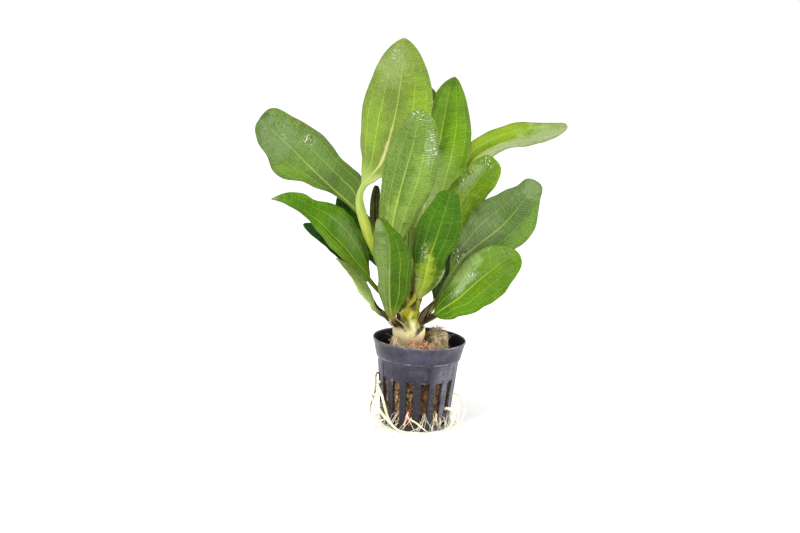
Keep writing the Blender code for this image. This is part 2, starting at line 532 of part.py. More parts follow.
class Leaf:
    """The measures of one leaf at any distance along its spine, in mm."""

    edges = ((0, 0, 0), (1, 0, 0))

    def __init__(self, measures):
        self.__dict__.update(measures)
        self.curve, self.lengths = smooth_curve(self.spine)
        self.tangents = np.gradient(self.curve, self.lengths, axis=0)
        self.length = self.lengths[-1]
        self.blade_start = self.blade * self.length
        peak = self.rise / (self.rise + self.tip)
        self.outline_peak = peak ** self.rise * (1 - peak) ** self.tip

    def along_blade(self, distance):
        return min(1.0, max(0.0, (distance - self.blade_start) / (self.length - self.blade_start)))

    def frame(self, distance):
        """Place, side direction and face direction."""
        place = np.array([np.interp(distance, self.lengths, self.curve[:, k]) for k in range(3)])
        tangent = np.array([np.interp(distance, self.lengths, self.tangents[:, k]) for k in range(3)])
        tangent /= np.linalg.norm(tangent)
        shares = [share for share, _ in self.face]
        looks = np.array([look for _, look in self.face])
        face = np.array([np.interp(distance / self.length, shares, looks[:, k]) for k in range(3)])
        face -= face.dot(tangent) * tangent
        face /= np.linalg.norm(face)
        return place, np.cross(tangent, face), face

    def half_width(self, distance):
        t = self.along_blade(distance)
        blade = self.width / 2 * t ** self.rise * (1 - t) ** self.tip / self.outline_peak
        return math.hypot(blade, self.petiole * (1 - t))

    def edge_offsets(self, distance):
        """How much further out the edges stand, on the negative and on the positive hand."""
        rows = np.array(self.edges, float)
        share = np.array([self.along_blade(distance)])
        return smooth_between(share, rows[:, 0], rows[:, 1:])[0]

    def half_thickness(self, distance):
        thinned = smoothstep(3 * self.along_blade(distance))
        return BLADE_HALF_THICKNESS * thinned + PETIOLE_HALF_THICKNESS * (1 - thinned)

    def ring(self, distance, half_width=None, half_thickness=None):
        """Points round the leaf: left edge, three on top, right edge, three below."""
        place, side, face = self.frame(distance)
        t = self.along_blade(distance)
        half_width = half_width or self.half_width(distance)
        half_thickness = half_thickness or self.half_thickness(distance)
        flare = smoothstep(4 * t)
        skew = self.skew[0] + (self.skew[1] - self.skew[0]) * t
        minus, plus = self.edge_offsets(distance)
        points = []
        for across, level in LEAF_SECTION:
            uneven = self.ripple * math.sin(math.tau * 2.7 * t + 2.1 * across + 0.8)
            stretch = 1 + flare * (skew * np.sign(across) + uneven)
            reach = across * (half_width * stretch + (plus if across > 0 else minus))
            lift = abs(reach) * self.fold * flare - self.droop * flare * half_width * across ** 2
            ripple = self.wave * across ** 2 * math.sin(math.tau * 2.2 * t + 1.3 * across) * 4 * t * (1 - t)
            height = lift + ripple + level * half_thickness
            points.append(place + side * reach + face * height)
        return points


def loft(rings, tip=None):
    """A closed mesh over rings of equal count, with a flat first end, and a flat or pointed last end."""
    frame = bmesh.new()
    rows = [[frame.verts.new(Vector(point) * MM) for point in ring] for ring in rings]
    count = len(rows[0])
    for low, high in zip(rows, rows[1:]):
        for i in range(count):
            j = (i + 1) % count
            frame.faces.new((low[i], high[i], high[j], low[j]))
    frame.faces.new(rows[0])
    if tip is None:
        frame.faces.new(reversed(rows[-1]))
    else:
        point = frame.verts.new(Vector(tip) * MM)
        for i in range(count):
            frame.faces.new((rows[-1][i], point, rows[-1][(i + 1) % count]))
    bmesh.ops.recalc_face_normals(frame, faces=frame.faces)
    return frame


def mesh_from(frame, name):
    mesh = bpy.data.meshes.new(name)
    frame.to_mesh(mesh)
    frame.free()
    mesh.shade_smooth()
    mesh.set_sharp_from_angle(angle=math.radians(50))
    return mesh


def without_midribs(ring):
    """The ring as a hexagon, for the sheaths: its edges and its shoulders."""
    return [ring[i] for i in (0, 1, 3, 4, 5, 7)]


def leaf_stations(leaf):
    """Distances of the rings: a few on the petiole, then the blade's, closer together near the tip."""
    start = leaf.joins + GAP
    blade_start = max(leaf.blade_start, start + 1.0)
    petiole = np.linspace(start, blade_start, PETIOLE_RINGS)[:-1] if leaf.blade_start > start + 4 else [start]
    shares = 1 - (1 - np.arange(BLADE_RINGS) / BLADE_RINGS) ** TIP_CROWDING
    return [*petiole, *(blade_start + (leaf.length - blade_start) * shares)]


def build_leaves(parts, sheaths):
    """Every leaf, and the stub of its sheath, which the crown takes in."""
    for measures in LEAVES:
        leaf = Leaf(measures)
        stations = leaf_stations(leaf)
        rings = [leaf.ring(distance) for distance in stations]
        mesh = mesh_from(loft(rings, tip=leaf.curve[-1]), leaf.name)
        add_object(leaf.name, mesh, parts, material(leaf.name, LEAF_COLOURS[leaf.colour], 0.4))
        foot = leaf.ring(0.0, SHEATH_HALF_WIDTH, SHEATH_HALF_THICKNESS)
        head = leaf.ring(leaf.joins)
        stub = loft([without_midribs(foot), without_midribs(head)])
        mark_cutter(add_object(f"sheath_of_{leaf.name}", mesh_from(stub, "sheath"), sheaths))


def build_old_sheaths(sheaths):
    outward = (0.0, -0.6, 0.8)
    for number, measures in enumerate(OLD_SHEATHS):
        old = Leaf(dict(spine=measures["spine"], blade=0.99, rise=1.0, tip=1.0, width=0.0,
                        petiole=measures["foot"], face=((0, outward), (1, outward)),
                        skew=(0, 0), fold=0.0, droop=0.0, wave=0.0, ripple=0.0))
        foot = old.ring(0.0, measures["foot"], SHEATH_HALF_THICKNESS)
        waist = old.ring(0.55 * old.length, 0.6 * measures["foot"], 0.7)
        stub = loft([without_midribs(foot), without_midribs(waist)], tip=old.curve[-1])
        mark_cutter(add_object(f"old_sheath_{number}", mesh_from(stub, "old sheath"), sheaths))


def build_crown(parts, sheaths):
    finish = material("crown", (0.74, 0.70, 0.40), 0.45)
    crown = turned_object("crown", CROWN_PROFILE, CROWN_STEPS, parts, finish)
    crown.location = Vector((*CROWN_AXIS, 0)) * MM
    union = crown.modifiers.new("Join the sheaths", "BOOLEAN")
    union.operation = "UNION"
    union.operand_type = "COLLECTION"
    union.collection = sheaths
    union.solver = "EXACT"


def root_points(path):
    points = []
    for degrees, radius, height in path:
        turn = front_angle(degrees)
        points.append((radius * math.cos(turn), radius * math.sin(turn), height))
    curve, lengths = smooth_curve(points)
    count = max(5, round(lengths[-1] / ROOT_STEP))
    at = np.linspace(0, lengths[-1], count)
    return [[np.interp(s, lengths, curve[:, k]) for k in range(3)] for s in at]


def build_roots(parts):
    for root in ROOTS:
        points = root_points(root["path"])
        data = bpy.data.curves.new(root["name"], "CURVE")
        data.dimensions = "3D"
        data.bevel_depth = root["diameter"] / 2 * MM
        data.bevel_resolution = 1
        data.use_fill_caps = True
        spline = data.splines.new("POLY")
        spline.points.add(len(points) - 1)
        for point, place in zip(spline.points, points):
            point.co = (*(Vector(place) * MM), 1.0)
        colour = ROOT_COLOURS.get(root["name"], ROOT_COLOUR)
        add_object(root["name"], data, parts, material(root["name"], colour, 0.6))


def build():
    clear_scene()
    parts = new_collection("Potted echinodorus")
    cutters = new_collection("Cutters")
    build_pot(parts, cutters)
    sheaths = new_collection("Leaf sheaths")
    build_plug(parts, cutters)
    build_leaves(parts, sheaths)
    build_old_sheaths(sheaths)
    build_crown(parts, sheaths)
    build_roots(parts)


build()
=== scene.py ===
"""Looks of the potted echinodorus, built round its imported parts.

A young sword plant stands in a rock wool plug in a slotted net pot. The frame is the parts' own: +Z up,
and the front of the plant towards -Y. Measures are in millimetres and are scaled by MM. Colours are red,
green and blue in linear light. In the shaders, a noise scale is in bumps a mm, a ramp runs between two
values of what it reads, and a strength is from 0 to 1.
"""
import json
import math

import bmesh
import bpy
import numpy as np
from mathutils import Matrix, Vector, noise

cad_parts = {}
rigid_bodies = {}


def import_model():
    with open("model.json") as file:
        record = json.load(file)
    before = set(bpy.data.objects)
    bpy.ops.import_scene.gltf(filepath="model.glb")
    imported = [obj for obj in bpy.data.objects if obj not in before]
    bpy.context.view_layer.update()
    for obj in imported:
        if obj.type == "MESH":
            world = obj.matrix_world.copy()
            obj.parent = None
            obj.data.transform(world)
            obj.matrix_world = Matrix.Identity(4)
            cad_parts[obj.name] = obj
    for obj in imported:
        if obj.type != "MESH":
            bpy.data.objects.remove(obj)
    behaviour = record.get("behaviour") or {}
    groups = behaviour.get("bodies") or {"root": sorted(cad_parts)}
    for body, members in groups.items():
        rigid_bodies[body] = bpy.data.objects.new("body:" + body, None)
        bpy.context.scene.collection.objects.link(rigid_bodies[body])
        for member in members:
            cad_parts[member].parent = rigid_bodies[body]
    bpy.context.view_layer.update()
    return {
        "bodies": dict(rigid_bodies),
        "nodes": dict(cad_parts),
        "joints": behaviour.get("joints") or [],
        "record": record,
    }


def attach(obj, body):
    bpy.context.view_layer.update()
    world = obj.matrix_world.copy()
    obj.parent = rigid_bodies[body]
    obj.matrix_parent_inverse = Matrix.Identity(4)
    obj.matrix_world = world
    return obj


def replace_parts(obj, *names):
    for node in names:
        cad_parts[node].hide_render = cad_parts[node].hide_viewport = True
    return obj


MM = 0.001

# Camera, at the photograph's viewing angle
CAMERA_PLACE = (-14.0, -890.0, 275.0)
CAMERA_LENS = 70.0
CAMERA_PITCH = 11.5
CAMERA_ROLL = 3.5

# Studio, in metres and watts
SKY_STRENGTH = 1.03
LIGHT_TARGET = (0.0, 0.0, 0.12)
LIGHTS = (
    dict(name="Key from upper left", place=(-0.75, -0.85, 1.15), size=0.7, power=24.0),
    dict(name="Fill from right", place=(0.95, -0.26, 0.16), size=0.6, power=11.0),
)
FLOOR_RADIUS = 30.0
FLOOR_TONE = (0.97, 0.97, 0.97)

# Net pot
POT_HEIGHT = 52.0
RIM_RADIUS = 27.5
LIP_HEIGHT = 1.6
COLLAR_FOOT = 41.0
COLLAR_FOOT_RADIUS = 24.9
COLLAR_TOP_RADIUS = 27.05
BODY_TOP_RADIUS = 24.0
BASE_RADIUS = 20.0
WALL = 1.2
EDGE_ROUND = 0.22
EDGE_ANGLE = 42
SHARP_ANGLE = 40
FLOOR = 1.4
FLOOR_INSET = 0.9
FLOOR_SEGMENTS = 128
SLOT_COUNT = 16
SLOT_WIDTH = 4.8
SLOT_BOTTOM = 2.6
SLOT_TOP = 30.5
SLOT_ROWS = 15
FLUTE_TOP = 38.6
FLUTE_DEPTH = 0.35
FLUTE_ROUND = 0.22
FIRST_SLOT_ANGLE = -10.0
DRAIN_COUNT = 8
DRAIN_WIDTH = 2.4
DRAIN_INNER = 6.5
DRAIN_OUTER = 15.5
RIB_CUTS = (0.18, 0.5, 0.82)
SLOT_CELLS = 5

# Rock wool plug
PLUG_TOP = 48.3
PLUG_TOP_RADIUS = 17.6
PLUG_WALL_GAP = 2.0
WALL_GAP = 0.15
PLUG_COLUMNS = 200
PLUG_ROWS = (64, 34, 52)
PLUG_LUMPS = ((0.9, 0.22, 3.0), (0.55, 0.6, 9.0), (0.3, 1.5, 5.0))
MOUND_CENTRE = (10.5, 6.0)
MOUND_RADIUS = 9.5
MOUND_HEIGHT = 8.6
RISE_CENTRE = (-14.5, -7.5)
RISE_RADIUS = 4.6
RISE_HEIGHT = 6.0
RIDGE_RADIUS = 9.5
RIDGE_SPREAD = 3.0
RIDGE_HEIGHT = 1.6
SIDE_STRANDS = 2600
TOP_STRANDS = 1700
STRAND_STEPS = 6
THINNEST_STRAND = 0.05
STRAND_TAPER = np.array((0.6, 1, 1, 1, 0.9, 0.7, 0.2))
BARE_RADIUS = 8.5

# Crown
CROWN_AXIS = np.array((-6.5, -2.0))
CROWN_HEIGHTS = (44, 45, 47.5, 50.5, 53, 57, 60, 63, 66.5, 71, 76, 80)
CROWN_RADII = (4.4, 5.4, 6.4, 7.8, 8.9, 9.7, 9.6, 8.5, 6.6, 4.8, 3.4, 2.0)
CORE_SPAN = (44.2, 79.0)
CORE_ROWS, CORE_COLUMNS = 60, 96
SHEATH_ROWS, SHEATH_COLUMNS = 48, 27
OLD_SHEATH_ROWS, OLD_SHEATH_COLUMNS = 30, 17
SOIL = 46.5
SHEATH_DEPTH = 1.5
SHEATH_OVERLAP = 4.0
NEAR_CROWN = 60
FRESH_AGE = 0.1

# Roots
ROOT_SIDES = 14
ROOT_STEP = 0.45
ROOT_WANDER = 0.22
ROOTLET_COUNT = 80
ROOTLET_STEPS = 9
ROOTLET_SIDES = 6
HAIR_SIDES = 5
HAIR_STEP = 1.2
SLOT_HAIRS = 110
GROUND_HAIRS = 60
LOOP_HAIRS = 9

# Tones of the pot; where there are two, the shader blends from the first to the second
SLATE = ((0.009, 0.008, 0.016), (0.038, 0.034, 0.060))
SLATE_BELOW = (0.005, 0.005, 0.009)
# Painted highlight on the body's right side
PAINTED_HIGHLIGHT_TONE = (0.12, 0.12, 0.16)
DUST_TONE = (0.085, 0.080, 0.105)
DARK_DOT = (0.006, 0.006, 0.010)
LIME_DOT = (0.42, 0.40, 0.42)
SCRATCH_TONE = (0.17, 0.16, 0.20)
# Worn edges with painted edge highlight, then the rubbed lip and ledge with painted highlight
WORN_AND_HIGHLIT_EDGE = (0.22, 0.21, 0.25)
RUBBED_AND_HIGHLIT_TONE = (0.22, 0.20, 0.24)
RUST_TONE = (0.17, 0.09, 0.06)
SPLASH_TONE = (0.07, 0.055, 0.04)
INSIDE_TONES = ((0.006, 0.006, 0.007), (0.020, 0.017, 0.014))

# Tones of the rock wool
# Painted light and shade on the plug behind the slots: lit on the left, shaded on the right
MAT_PAINTED_LIGHT = ((0.78, 0.50, 0.27), (0.15, 0.065, 0.036))
# Painted shade in the hollows between the shreds
MAT_HOLLOW_SHADE = (0.018, 0.009, 0.006)
MAT_CLUMP = (0.30, 0.155, 0.055)
# Painted shade in upright gaps of the mat
MAT_UPRIGHT_GAP_SHADE = (0.020, 0.010, 0.007)
WOOL_TONES = ((0.20, 0.140, 0.07), (0.72, 0.58, 0.38))
WOOL_SHADED = (0.045, 0.028, 0.012)
WOOL_MATTED = (0.12, 0.080, 0.036)
STRAND_TONES = ((0.52, 0.30, 0.15), (0.66, 0.53, 0.34))
# Painted shade in the dips of the plug's surface
PIT_SHADE_TONE = (0.018, 0.010, 0.005)

# Tones of the crown
CREAM = ((0.64, 0.61, 0.29), (0.48, 0.42, 0.17))
LIME = ((0.40, 0.40, 0.020), (0.20, 0.20, 0.006))
CROWN_TOP_TONE = (0.080, 0.072, 0.008)
CROWN_FOOT_TONE = (0.56, 0.40, 0.23)
SHEATH_LINE = (0.15, 0.095, 0.015)
DRIED_TONES = ((0.060, 0.029, 0.010), (0.008, 0.005, 0.003))
PAPER_TONES = ((0.010, 0.006, 0.003), (0.30, 0.21, 0.10))
OLD_RIM = (0.55, 0.45, 0.27)
FRESH_TONES = ((0.42, 0.40, 0.035), (0.24, 0.24, 0.010))
FRESH_EDGE = (0.62, 0.58, 0.26)
CROWN_SPECK = (0.22, 0.12, 0.05)

# Tones of the leaves; a grade is what a colour is multiplied by, and what is added after
# Painted sheen: the greyish veil mixed into a blade's halves in place of reflected light
PAINTED_SHEEN_GREY = (0.10, 0.105, 0.065)
# Painted shade in the fine ridges' troughs and painted light on their crests
RIDGE_SHADE = (0.46, 0.58, 0.34)
LIT_CREST_GRADE = ((1.22, 1.16, 1.1), (0.012, 0.020, 0.003))
LADDER_GRADE = ((0.9, 0.9, 0.9), (0.07, 0.10, 0.010))
VEIN_GRADE = ((0.80, 0.84, 0.9), (0.22, 0.26, 0.035))
RED_MIDRIB = (0.42, 0.22, 0.05)
STALK_STREAK = (0.55, 0.6, 0.5)
# Painted shade on one side of a stalk
STALK_SHADE = (0.50, 0.68, 0.35)
RIM_TONES = ((0.24, 0.25, 0.07), (0.085, 0.050, 0.012))
SPECK_TONE = (0.035, 0.06, 0.012)
# Painted glint: a white tint mixed into the base colour on the water beads
PAINTED_GLINT = (0.74, 0.80, 0.66)
GLOW = 1.35

# Leaves
PETIOLE_HALF_THICKNESS = 1.15
BLADE_HALF_THICKNESS = 0.28
SPINE_SAMPLES = 400
PETIOLE_ROWS = 22
BLADE_ROWS = 92
TIP_CROWDING = 1.5
LAST_ROW = 0.9996
COLUMNS = 37
EDGE_CROWDING = 0.9
START_IN_CROWN = 0.45
LATERAL_VEINS = (0.0, 0.46, 0.80, 1.0)
CROSS_VEIN_PITCH = 4.2
CROSS_VEIN_SLOPE = 0.38
OUTLINE_WAVES = 2.7
RUFFLE_WAVES = 2.2
FRILL_WAVES = 7.3
PILLOW_HEIGHT = 0.10
VEIN_HOLLOW = 0.16
MIDRIB_GROOVE = 0.22

# Each spine runs from inside the crown to the leaf's tip. joins is the length of it in the crown, and
# blade is where along it, from 0 to 1, the blade starts. rise and tip shape the outline: the lower the
# rounder. face says which way the upper side looks, at shares of the length. skew, at the blade's base and
# tip, widens the half on the side's positive hand. fold lifts both halves to a V, droop bends their edges
# back down, wave ruffles them and ripple makes the outline uneven. edges says, at shares of the blade, how
# many mm further out the edge stands on the side's negative hand and on its positive.
# The blade is mottled between shade and green. A painted sheen greys its negative and its positive half,
# specks are dark dots, ridged and veined say how strongly the fine ridges, with their painted light and
# shade, and the veins show, and stalk gives the stalk's tones at shares of the length. A patch has its
# place along and across the blade, its reach both ways, a tone and a strength; some patches are painted
# highlights, sheens and shadows, marked where they stand. A wet place has the first four, and gets water
# beads with painted glints.
LEAVES = (
    dict(name="leaf_tall_back", slot="leaf_lime", joins=16, blade=0.48, width=37.5, rise=0.8, tip=0.66,
         petiole=3.0, skew=(-0.02, -0.02), fold=0.1, droop=0.1, wave=0.5,
         spine=((-10, -5, 66), (-13, -9, 76), (-18, -12.5, 84.5), (-25.5, -14, 96), (-31.3, -14, 108.5),
                (-36, -13.5, 121.5), (-38.8, -12.8, 130), (-39.4, -12, 137), (-37, -10, 142.5),
                (-33.5, -7, 147), (-29.3, -3.5, 153), (-25, 1, 167), (-22, 5, 182), (-20, 8, 202),
                (-19.4, 9, 225.5)),
         face=((0, (-0.6, -0.8, 0.1)), (0.24, (-0.95, -0.3, 0)), (0.36, (-0.1, -1, 0)),
               (0.47, (-0.9, -0.5, 0)), (0.58, (0, -1, 0.1)), (1, (0.1, -0.97, 0.1))),
         edges=((0, 0, 0), (0.05, 0, -0.5), (0.1, 0, -3.2), (0.16, 0, -2), (0.25, 0, 0), (1, 0, 0)),
         bloom=(0.3, 0.12), specks=0.5, ridged=0.75, veined=1.0, green=(0.164, 0.232, 0.0304),
         shade=(0.118, 0.188, 0.0206),
         stalk=((0.1, (0.11, 0.15, 0.02)), (0.19, (0.12, 0.19, 0.018)), (0.27, (0.44, 0.49, 0.045)),
                (0.36, (0.5, 0.54, 0.1)), (0.42, (0.44, 0.5, 0.13)), (0.48, (0.42, 0.48, 0.15)),
                (0.56, (0.28, 0.41, 0.05))),
         patches=((0.84, -0.35, 0.16, 0.7, (0.29, 0.36, 0.16), 0.5),
                  (0.56, 0.62, 0.22, 0.42, (0.22, 0.38, 0.014), 0.6),
                  (0.42, -0.6, 0.22, 0.4, (0.25, 0.4, 0.03), 0.5),
                  (0.03, 0.75, 0.12, 0.6, (0.62, 0.54, 0.38), 0.9),
                  (0.16, 0.0, 0.26, 0.09, (0.64, 0.5, 0.28), 0.8)),
         wet=((0.9, -0.35, 0.05, 0.3),)),
    dict(name="leaf_front_centre", slot="leaf_green", joins=15, blade=0.36, width=30.5, rise=0.6, tip=0.5,
         petiole=1.7, skew=(-0.17, -0.17), fold=0.14, droop=0.06, wave=0.4,
         spine=((-7, -6, 66), (-8, -9.5, 76), (-11.5, -13, 88), (-16, -17, 102), (-19.5, -20, 120),
                (-17.4, -22, 136.6), (-14.4, -24, 152.4), (-11.3, -25, 166.3), (-9.3, -24, 179.2),
                (-8.4, -21, 188.5)),
         face=((0, (0.1, 0.9, 0.3)), (1, (0.1, 0.95, 0))),
         edges=((0, 0, 0), (0.2, -0.7, -1), (0.3, -2, -1.3), (0.4, -1, -1), (0.5, -0.7, 0), (0.9, -0.8, 0),
                (1, 0, 0)),
         bloom=(0.3, 0.35), ridged=1.0, veined=1.0, green=(0.125, 0.216, 0.0258),
         shade=(0.0867, 0.169, 0.0163),
         stalk=((0.12, (0.24, 0.234, 0.0255)), (0.25, (0.32, 0.359, 0.051)), (0.4, (0.288, 0.359, 0.0595))),
         # The first patch is a painted highlight.
         patches=((0.78, -0.68, 0.12, 0.3, (0.36, 0.45, 0.24), 0.3),
                  (0.4, -0.55, 0.35, 0.45, (0.3, 0.45, 0.09), 0.6),
                  (0.16, 0.1, 0.24, 0.8, (0.33, 0.46, 0.09), 0.7)),
         wet=((0.76, -0.74, 0.14, 0.3), (0.95, -0.1, 0.05, 0.9))),
    dict(name="leaf_right_centre", slot="leaf_green", joins=16, blade=0.34, width=33, rise=0.55, tip=0.64,
         petiole=1.7, skew=(0.2, 0.12), fold=0.16, droop=0.05, wave=0.5,
         spine=((-5, 1, 68), (-6, 3, 80), (-5, 7, 106), (-2, 10, 130), (2.2, 13, 154), (5.2, 14, 170),
                (7.2, 14, 187), (9, 13, 198.6), (11, 11, 205)),
         face=((0, (0.3, -0.95, 0.1)), (1, (0.3, -0.95, 0.1))), bloom=(0.06, 0.1), ridged=0.85, veined=1.0,
         green=(0.101, 0.213, 0.0008), shade=(0.0562, 0.132, 0.0005),
         stalk=((0.12, (0.128, 0.156, 0.017)), (0.3, (0.288, 0.343, 0.068))),
         # The first patch is a painted sheen and the second painted shadow along the front leaf's edge.
         patches=((0.28, 0.2, 0.26, 0.9, (0.38, 0.5, 0.16), 0.85),
                  (0.55, -0.85, 0.45, 0.3, (0.045, 0.1, 0.003), 0.7),
                  (0.5, 0.55, 0.35, 0.4, (0.17, 0.33, 0.006), 0.6)),
         wet=((0.16, 0.4, 0.1, 0.5),)),
    dict(name="leaf_right_arch", slot="leaf_lime", joins=17, blade=0.42, width=23, rise=0.7, tip=0.58,
         skew=(0, -0.16), fold=0.26, droop=0.06, wave=0.4,
         spine=((-2, 1, 66), (-0.8, 4, 78), (3.5, 9, 100), (8.6, 13, 118), (16, 18, 140), (25.6, 22, 157),
                (37.6, 24, 165.5), (48.6, 25, 170), (60, 25, 173), (73, 24, 176.5), (79, 22, 179.5)),
         face=((0, (-0.5, 0.8, 0.3)), (1, (-0.3, 0.75, 0.59))),
         edges=((0, 0, 0), (0.4, -1.5, 0), (0.5, -3, 0), (0.6, -4, 0), (0.65, -2, 0.5), (0.7, -0.3, 0.9),
                (0.8, 0, 0), (1, 0, 1.5)),
         bloom=(0.3, 0.05), ridged=0.5, veined=1.0, green=(0.172, 0.262, 0.0046),
         shade=(0.116, 0.208, 0.003),
         stalk=((0.15, (0.16, 0.203, 0.017)), (0.35, (0.24, 0.359, 0.0425))),
         # The first patch is a painted sheen, the floor's reflection on the lower half.
         patches=((0.6, -0.5, 0.42, 0.5, (0.44, 0.48, 0.3), 0.8),
                  (0.62, 0.55, 0.3, 0.5, (0.3, 0.44, 0.03), 0.7),
                  (0.97, 0.0, 0.28, 1.1, (0.35, 0.41, 0.21), 0.75))),
    dict(name="leaf_right_small", slot="leaf_green", joins=13, blade=0.4, width=24, rise=0.6, tip=0.42,
         petiole=1.5, skew=(0.1, 0.16), fold=0.16, droop=0.1, wave=0.6,
         spine=((-3, -1, 70), (-1, 0, 80), (3, 2, 94), (7.2, 4, 106), (13.6, 5, 120.5), (19, 5, 132),
                (24, 4, 141), (30, 3, 150), (38, 3, 159)),
         face=((0, (-0.25, -0.93, 0.2)), (1, (-0.25, -0.93, 0.2))),
         edges=((0, 0, 0), (0.4, 0, -3.5), (0.6, 0, -3.2), (0.7, -1, -3.2), (0.8, 0.8, -1.5), (0.9, 1, -1),
                (1, 2.2, 0)),
         bloom=(0.1, 0.05), ridged=0.9, veined=0.9, green=(0.155, 0.27, 0.0032), shade=(0.1, 0.198, 0.0024),
         stalk=((0.12, (0.08, 0.117, 0.0085)), (0.3, (0.264, 0.328, 0.051))),
         # The first patch is a painted sheen.
         patches=((0.62, -0.35, 0.3, 0.4, (0.33, 0.42, 0.2), 0.75),
                  (0.78, -0.7, 0.05, 0.2, (0.32, 0.34, 0.01), 0.6),
                  (0.28, 0.0, 0.38, 1.0, (0.33, 0.5, 0.045), 0.85)),
         wet=((0.72, -0.66, 0.2, 0.3), (0.93, -0.3, 0.05, 0.5))),
    dict(name="leaf_right_large", slot="leaf_grey", joins=15, blade=0.33, width=35.5, rise=0.75, tip=0.46,
         petiole=1.7, skew=(0.05, -0.25), fold=0.1, droop=0.1, wave=0.9,
         spine=((-1, -3, 62), (2.5, -3.5, 66), (5.7, -4, 70.5), (9.6, -5, 77), (13, -6, 85),
                (16.8, -7.5, 94), (21.5, -9, 102.5), (28.4, -10, 110), (41.2, -12, 122), (47.5, -12, 129.3),
                (54.2, -11, 138.9), (61.5, -8, 150)),
         face=((0, (-0.3, -0.88, 0.35)), (1, (-0.3, -0.88, 0.35))),
         edges=((0, 0, 0), (0.3, 0, 0), (0.4, 1.5, 0), (0.5, 0, 0.5), (0.6, -2, 1), (0.7, -4.3, 0.5),
                (0.8, -6.2, -1.2), (0.9, -7.3, -2.4), (1, -1, 0)),
         bloom=(0.55, 0.3), specks=0.2, ridged=0.8, veined=0.8, green=(0.0718, 0.147, 0.0159),
         shade=(0.0478, 0.108, 0.0127),
         stalk=((0.12, (0.04, 0.0468, 0.0085)), (0.3, (0.16, 0.218, 0.0425))),
         patches=((0.93, 0.1, 0.12, 0.9, (0.25, 0.31, 0.17), 0.5),
                  (0.55, 0.8, 0.32, 0.3, (0.15, 0.27, 0.03), 0.6),
                  # The next patch is a painted sheen, and the last painted shade at the base.
                  (0.34, -0.3, 0.26, 0.7, (0.2, 0.26, 0.13), 0.5),
                  (0.1, -0.5, 0.12, 0.9, (0.02, 0.045, 0.006), 0.8)),
         wet=((0.15, -0.2, 0.07, 0.5),)),
    dict(name="leaf_right_low", slot="leaf_green", joins=11, blade=0.15, width=31, rise=0.55, tip=0.4,
         petiole=1.9, fold=0.1, droop=0.12, wave=0.9,
         spine=((0, -6, 61), (5, -8.5, 65.5), (9.6, -11, 69.8), (14.4, -14.5, 74.7), (20.5, -20, 81.3),
                (27.8, -25, 90.1), (35, -29.5, 98.5), (42, -31, 105.3), (52.3, -30, 112)),
         face=((0, (-0.35, -0.75, 0.45)), (1, (-0.35, -0.8, 0.45))),
         edges=((0, 0, -1.0), (0.1, 0, -1.4), (0.16, 0, -1.6), (0.24, 0, -3.2), (0.3, 0, -2.8),
                (0.4, 0, -0.6), (0.5, 0, 0), (0.75, 0, 0.5), (0.86, -0.6, 0.3), (0.94, -2.0, 0),
                (1, -2.0, 0)),
         bloom=(0.35, 0.02), ridged=0.9, veined=0.9, green=(0.109, 0.213, 0.0029),
         shade=(0.0681, 0.16, 0.0017), stalk=((0.1, (0.03, 0.06, 0.004)), (0.2, (0.085, 0.2, 0.002))),
         # The first two patches are painted highlights, and the last two painted shadow at the base.
         patches=((0.4, -0.3, 0.2, 0.2, (0.38, 0.48, 0.26), 0.65),
                  (0.52, -0.75, 0.28, 0.38, (0.32, 0.44, 0.16), 0.75),
                  (0.3, 0.5, 0.3, 0.6, (0.1, 0.24, 0.002), 0.7),
                  (0.06, 0.2, 0.16, 1.1, (0.035, 0.12, 0.001), 0.9),
                  (0.16, -0.55, 0.16, 0.7, (0.04, 0.11, 0.004), 0.8)),
         wet=((0.48, -0.34, 0.14, 0.2), (0.32, -0.3, 0.12, 0.16))),
    dict(name="leaf_front_right", slot="leaf_deep", joins=13, blade=0.16, width=25.5, rise=0.62, tip=0.38,
         petiole=1.9, fold=0.14, droop=0.05, wave=0.4,
         spine=((-4, -6, 66), (-2.5, -9.5, 76), (-0.5, -14, 85), (1, -21, 96), (2.6, -28, 107),
                (5, -33, 117), (7.2, -36, 127), (9.5, -36, 136.5), (11.4, -34, 145.3)),
         face=((0, (0, 0.82, 0.55)), (1, (0, 0.9, 0.3))),
         edges=((0, 0, 0), (0.3, 0.5, -2.5), (0.4, -1.8, -1.8), (0.5, -2.3, -0.6), (0.6, 0, -0.5),
                (0.7, 0.4, 0), (0.8, -0.6, -0.8), (0.9, -1.7, -1.6), (1, 0.5, 0)),
         bloom=(0.0, 0.0), ridged=0.95, veined=0.7, green=(0.0461, 0.139, 0.0001),
         shade=(0.0301, 0.1, 0.0001),
         stalk=((0.1, (0.352, 0.328, 0.051)), (0.25, (0.416, 0.421, 0.0765)),
                (0.38, (0.208, 0.296, 0.0255))),
         patches=((0.45, 0.8, 0.45, 0.25, (0.024, 0.07, 0.0005), 0.85),
                  (0.42, 0.15, 0.18, 0.3, (0.2, 0.28, 0.02), 0.5),
                  (0.16, 0.1, 0.28, 0.8, (0.46, 0.58, 0.05), 0.85),
                  (0.2, -1.0, 0.14, 0.16, (0.53, 0.45, 0.31), 0.95),
                  (0.2, -0.6, 0.14, 0.22, (0.05, 0.08, 0.005), 0.3)),
         wet=((0.45, 0.35, 0.12, 0.25), (0.16, 0.6, 0.08, 0.4))),
    dict(name="leaf_front_left", slot="leaf_green", joins=9, blade=0.14, width=24, rise=0.62, tip=0.48,
         petiole=2.0, skew=(-0.3, -0.08), fold=0.16, droop=0.05, wave=0.4,
         spine=((-11, -8, 58), (-16, -12, 64.5), (-18, -17, 73), (-19.3, -25, 87), (-19.8, -33, 101),
                (-21, -38, 115), (-24, -39, 123.7), (-27.3, -38, 128.6)),
         face=((0, (0, 0.86, 0.5)), (1, (0, 0.95, 0.2))),
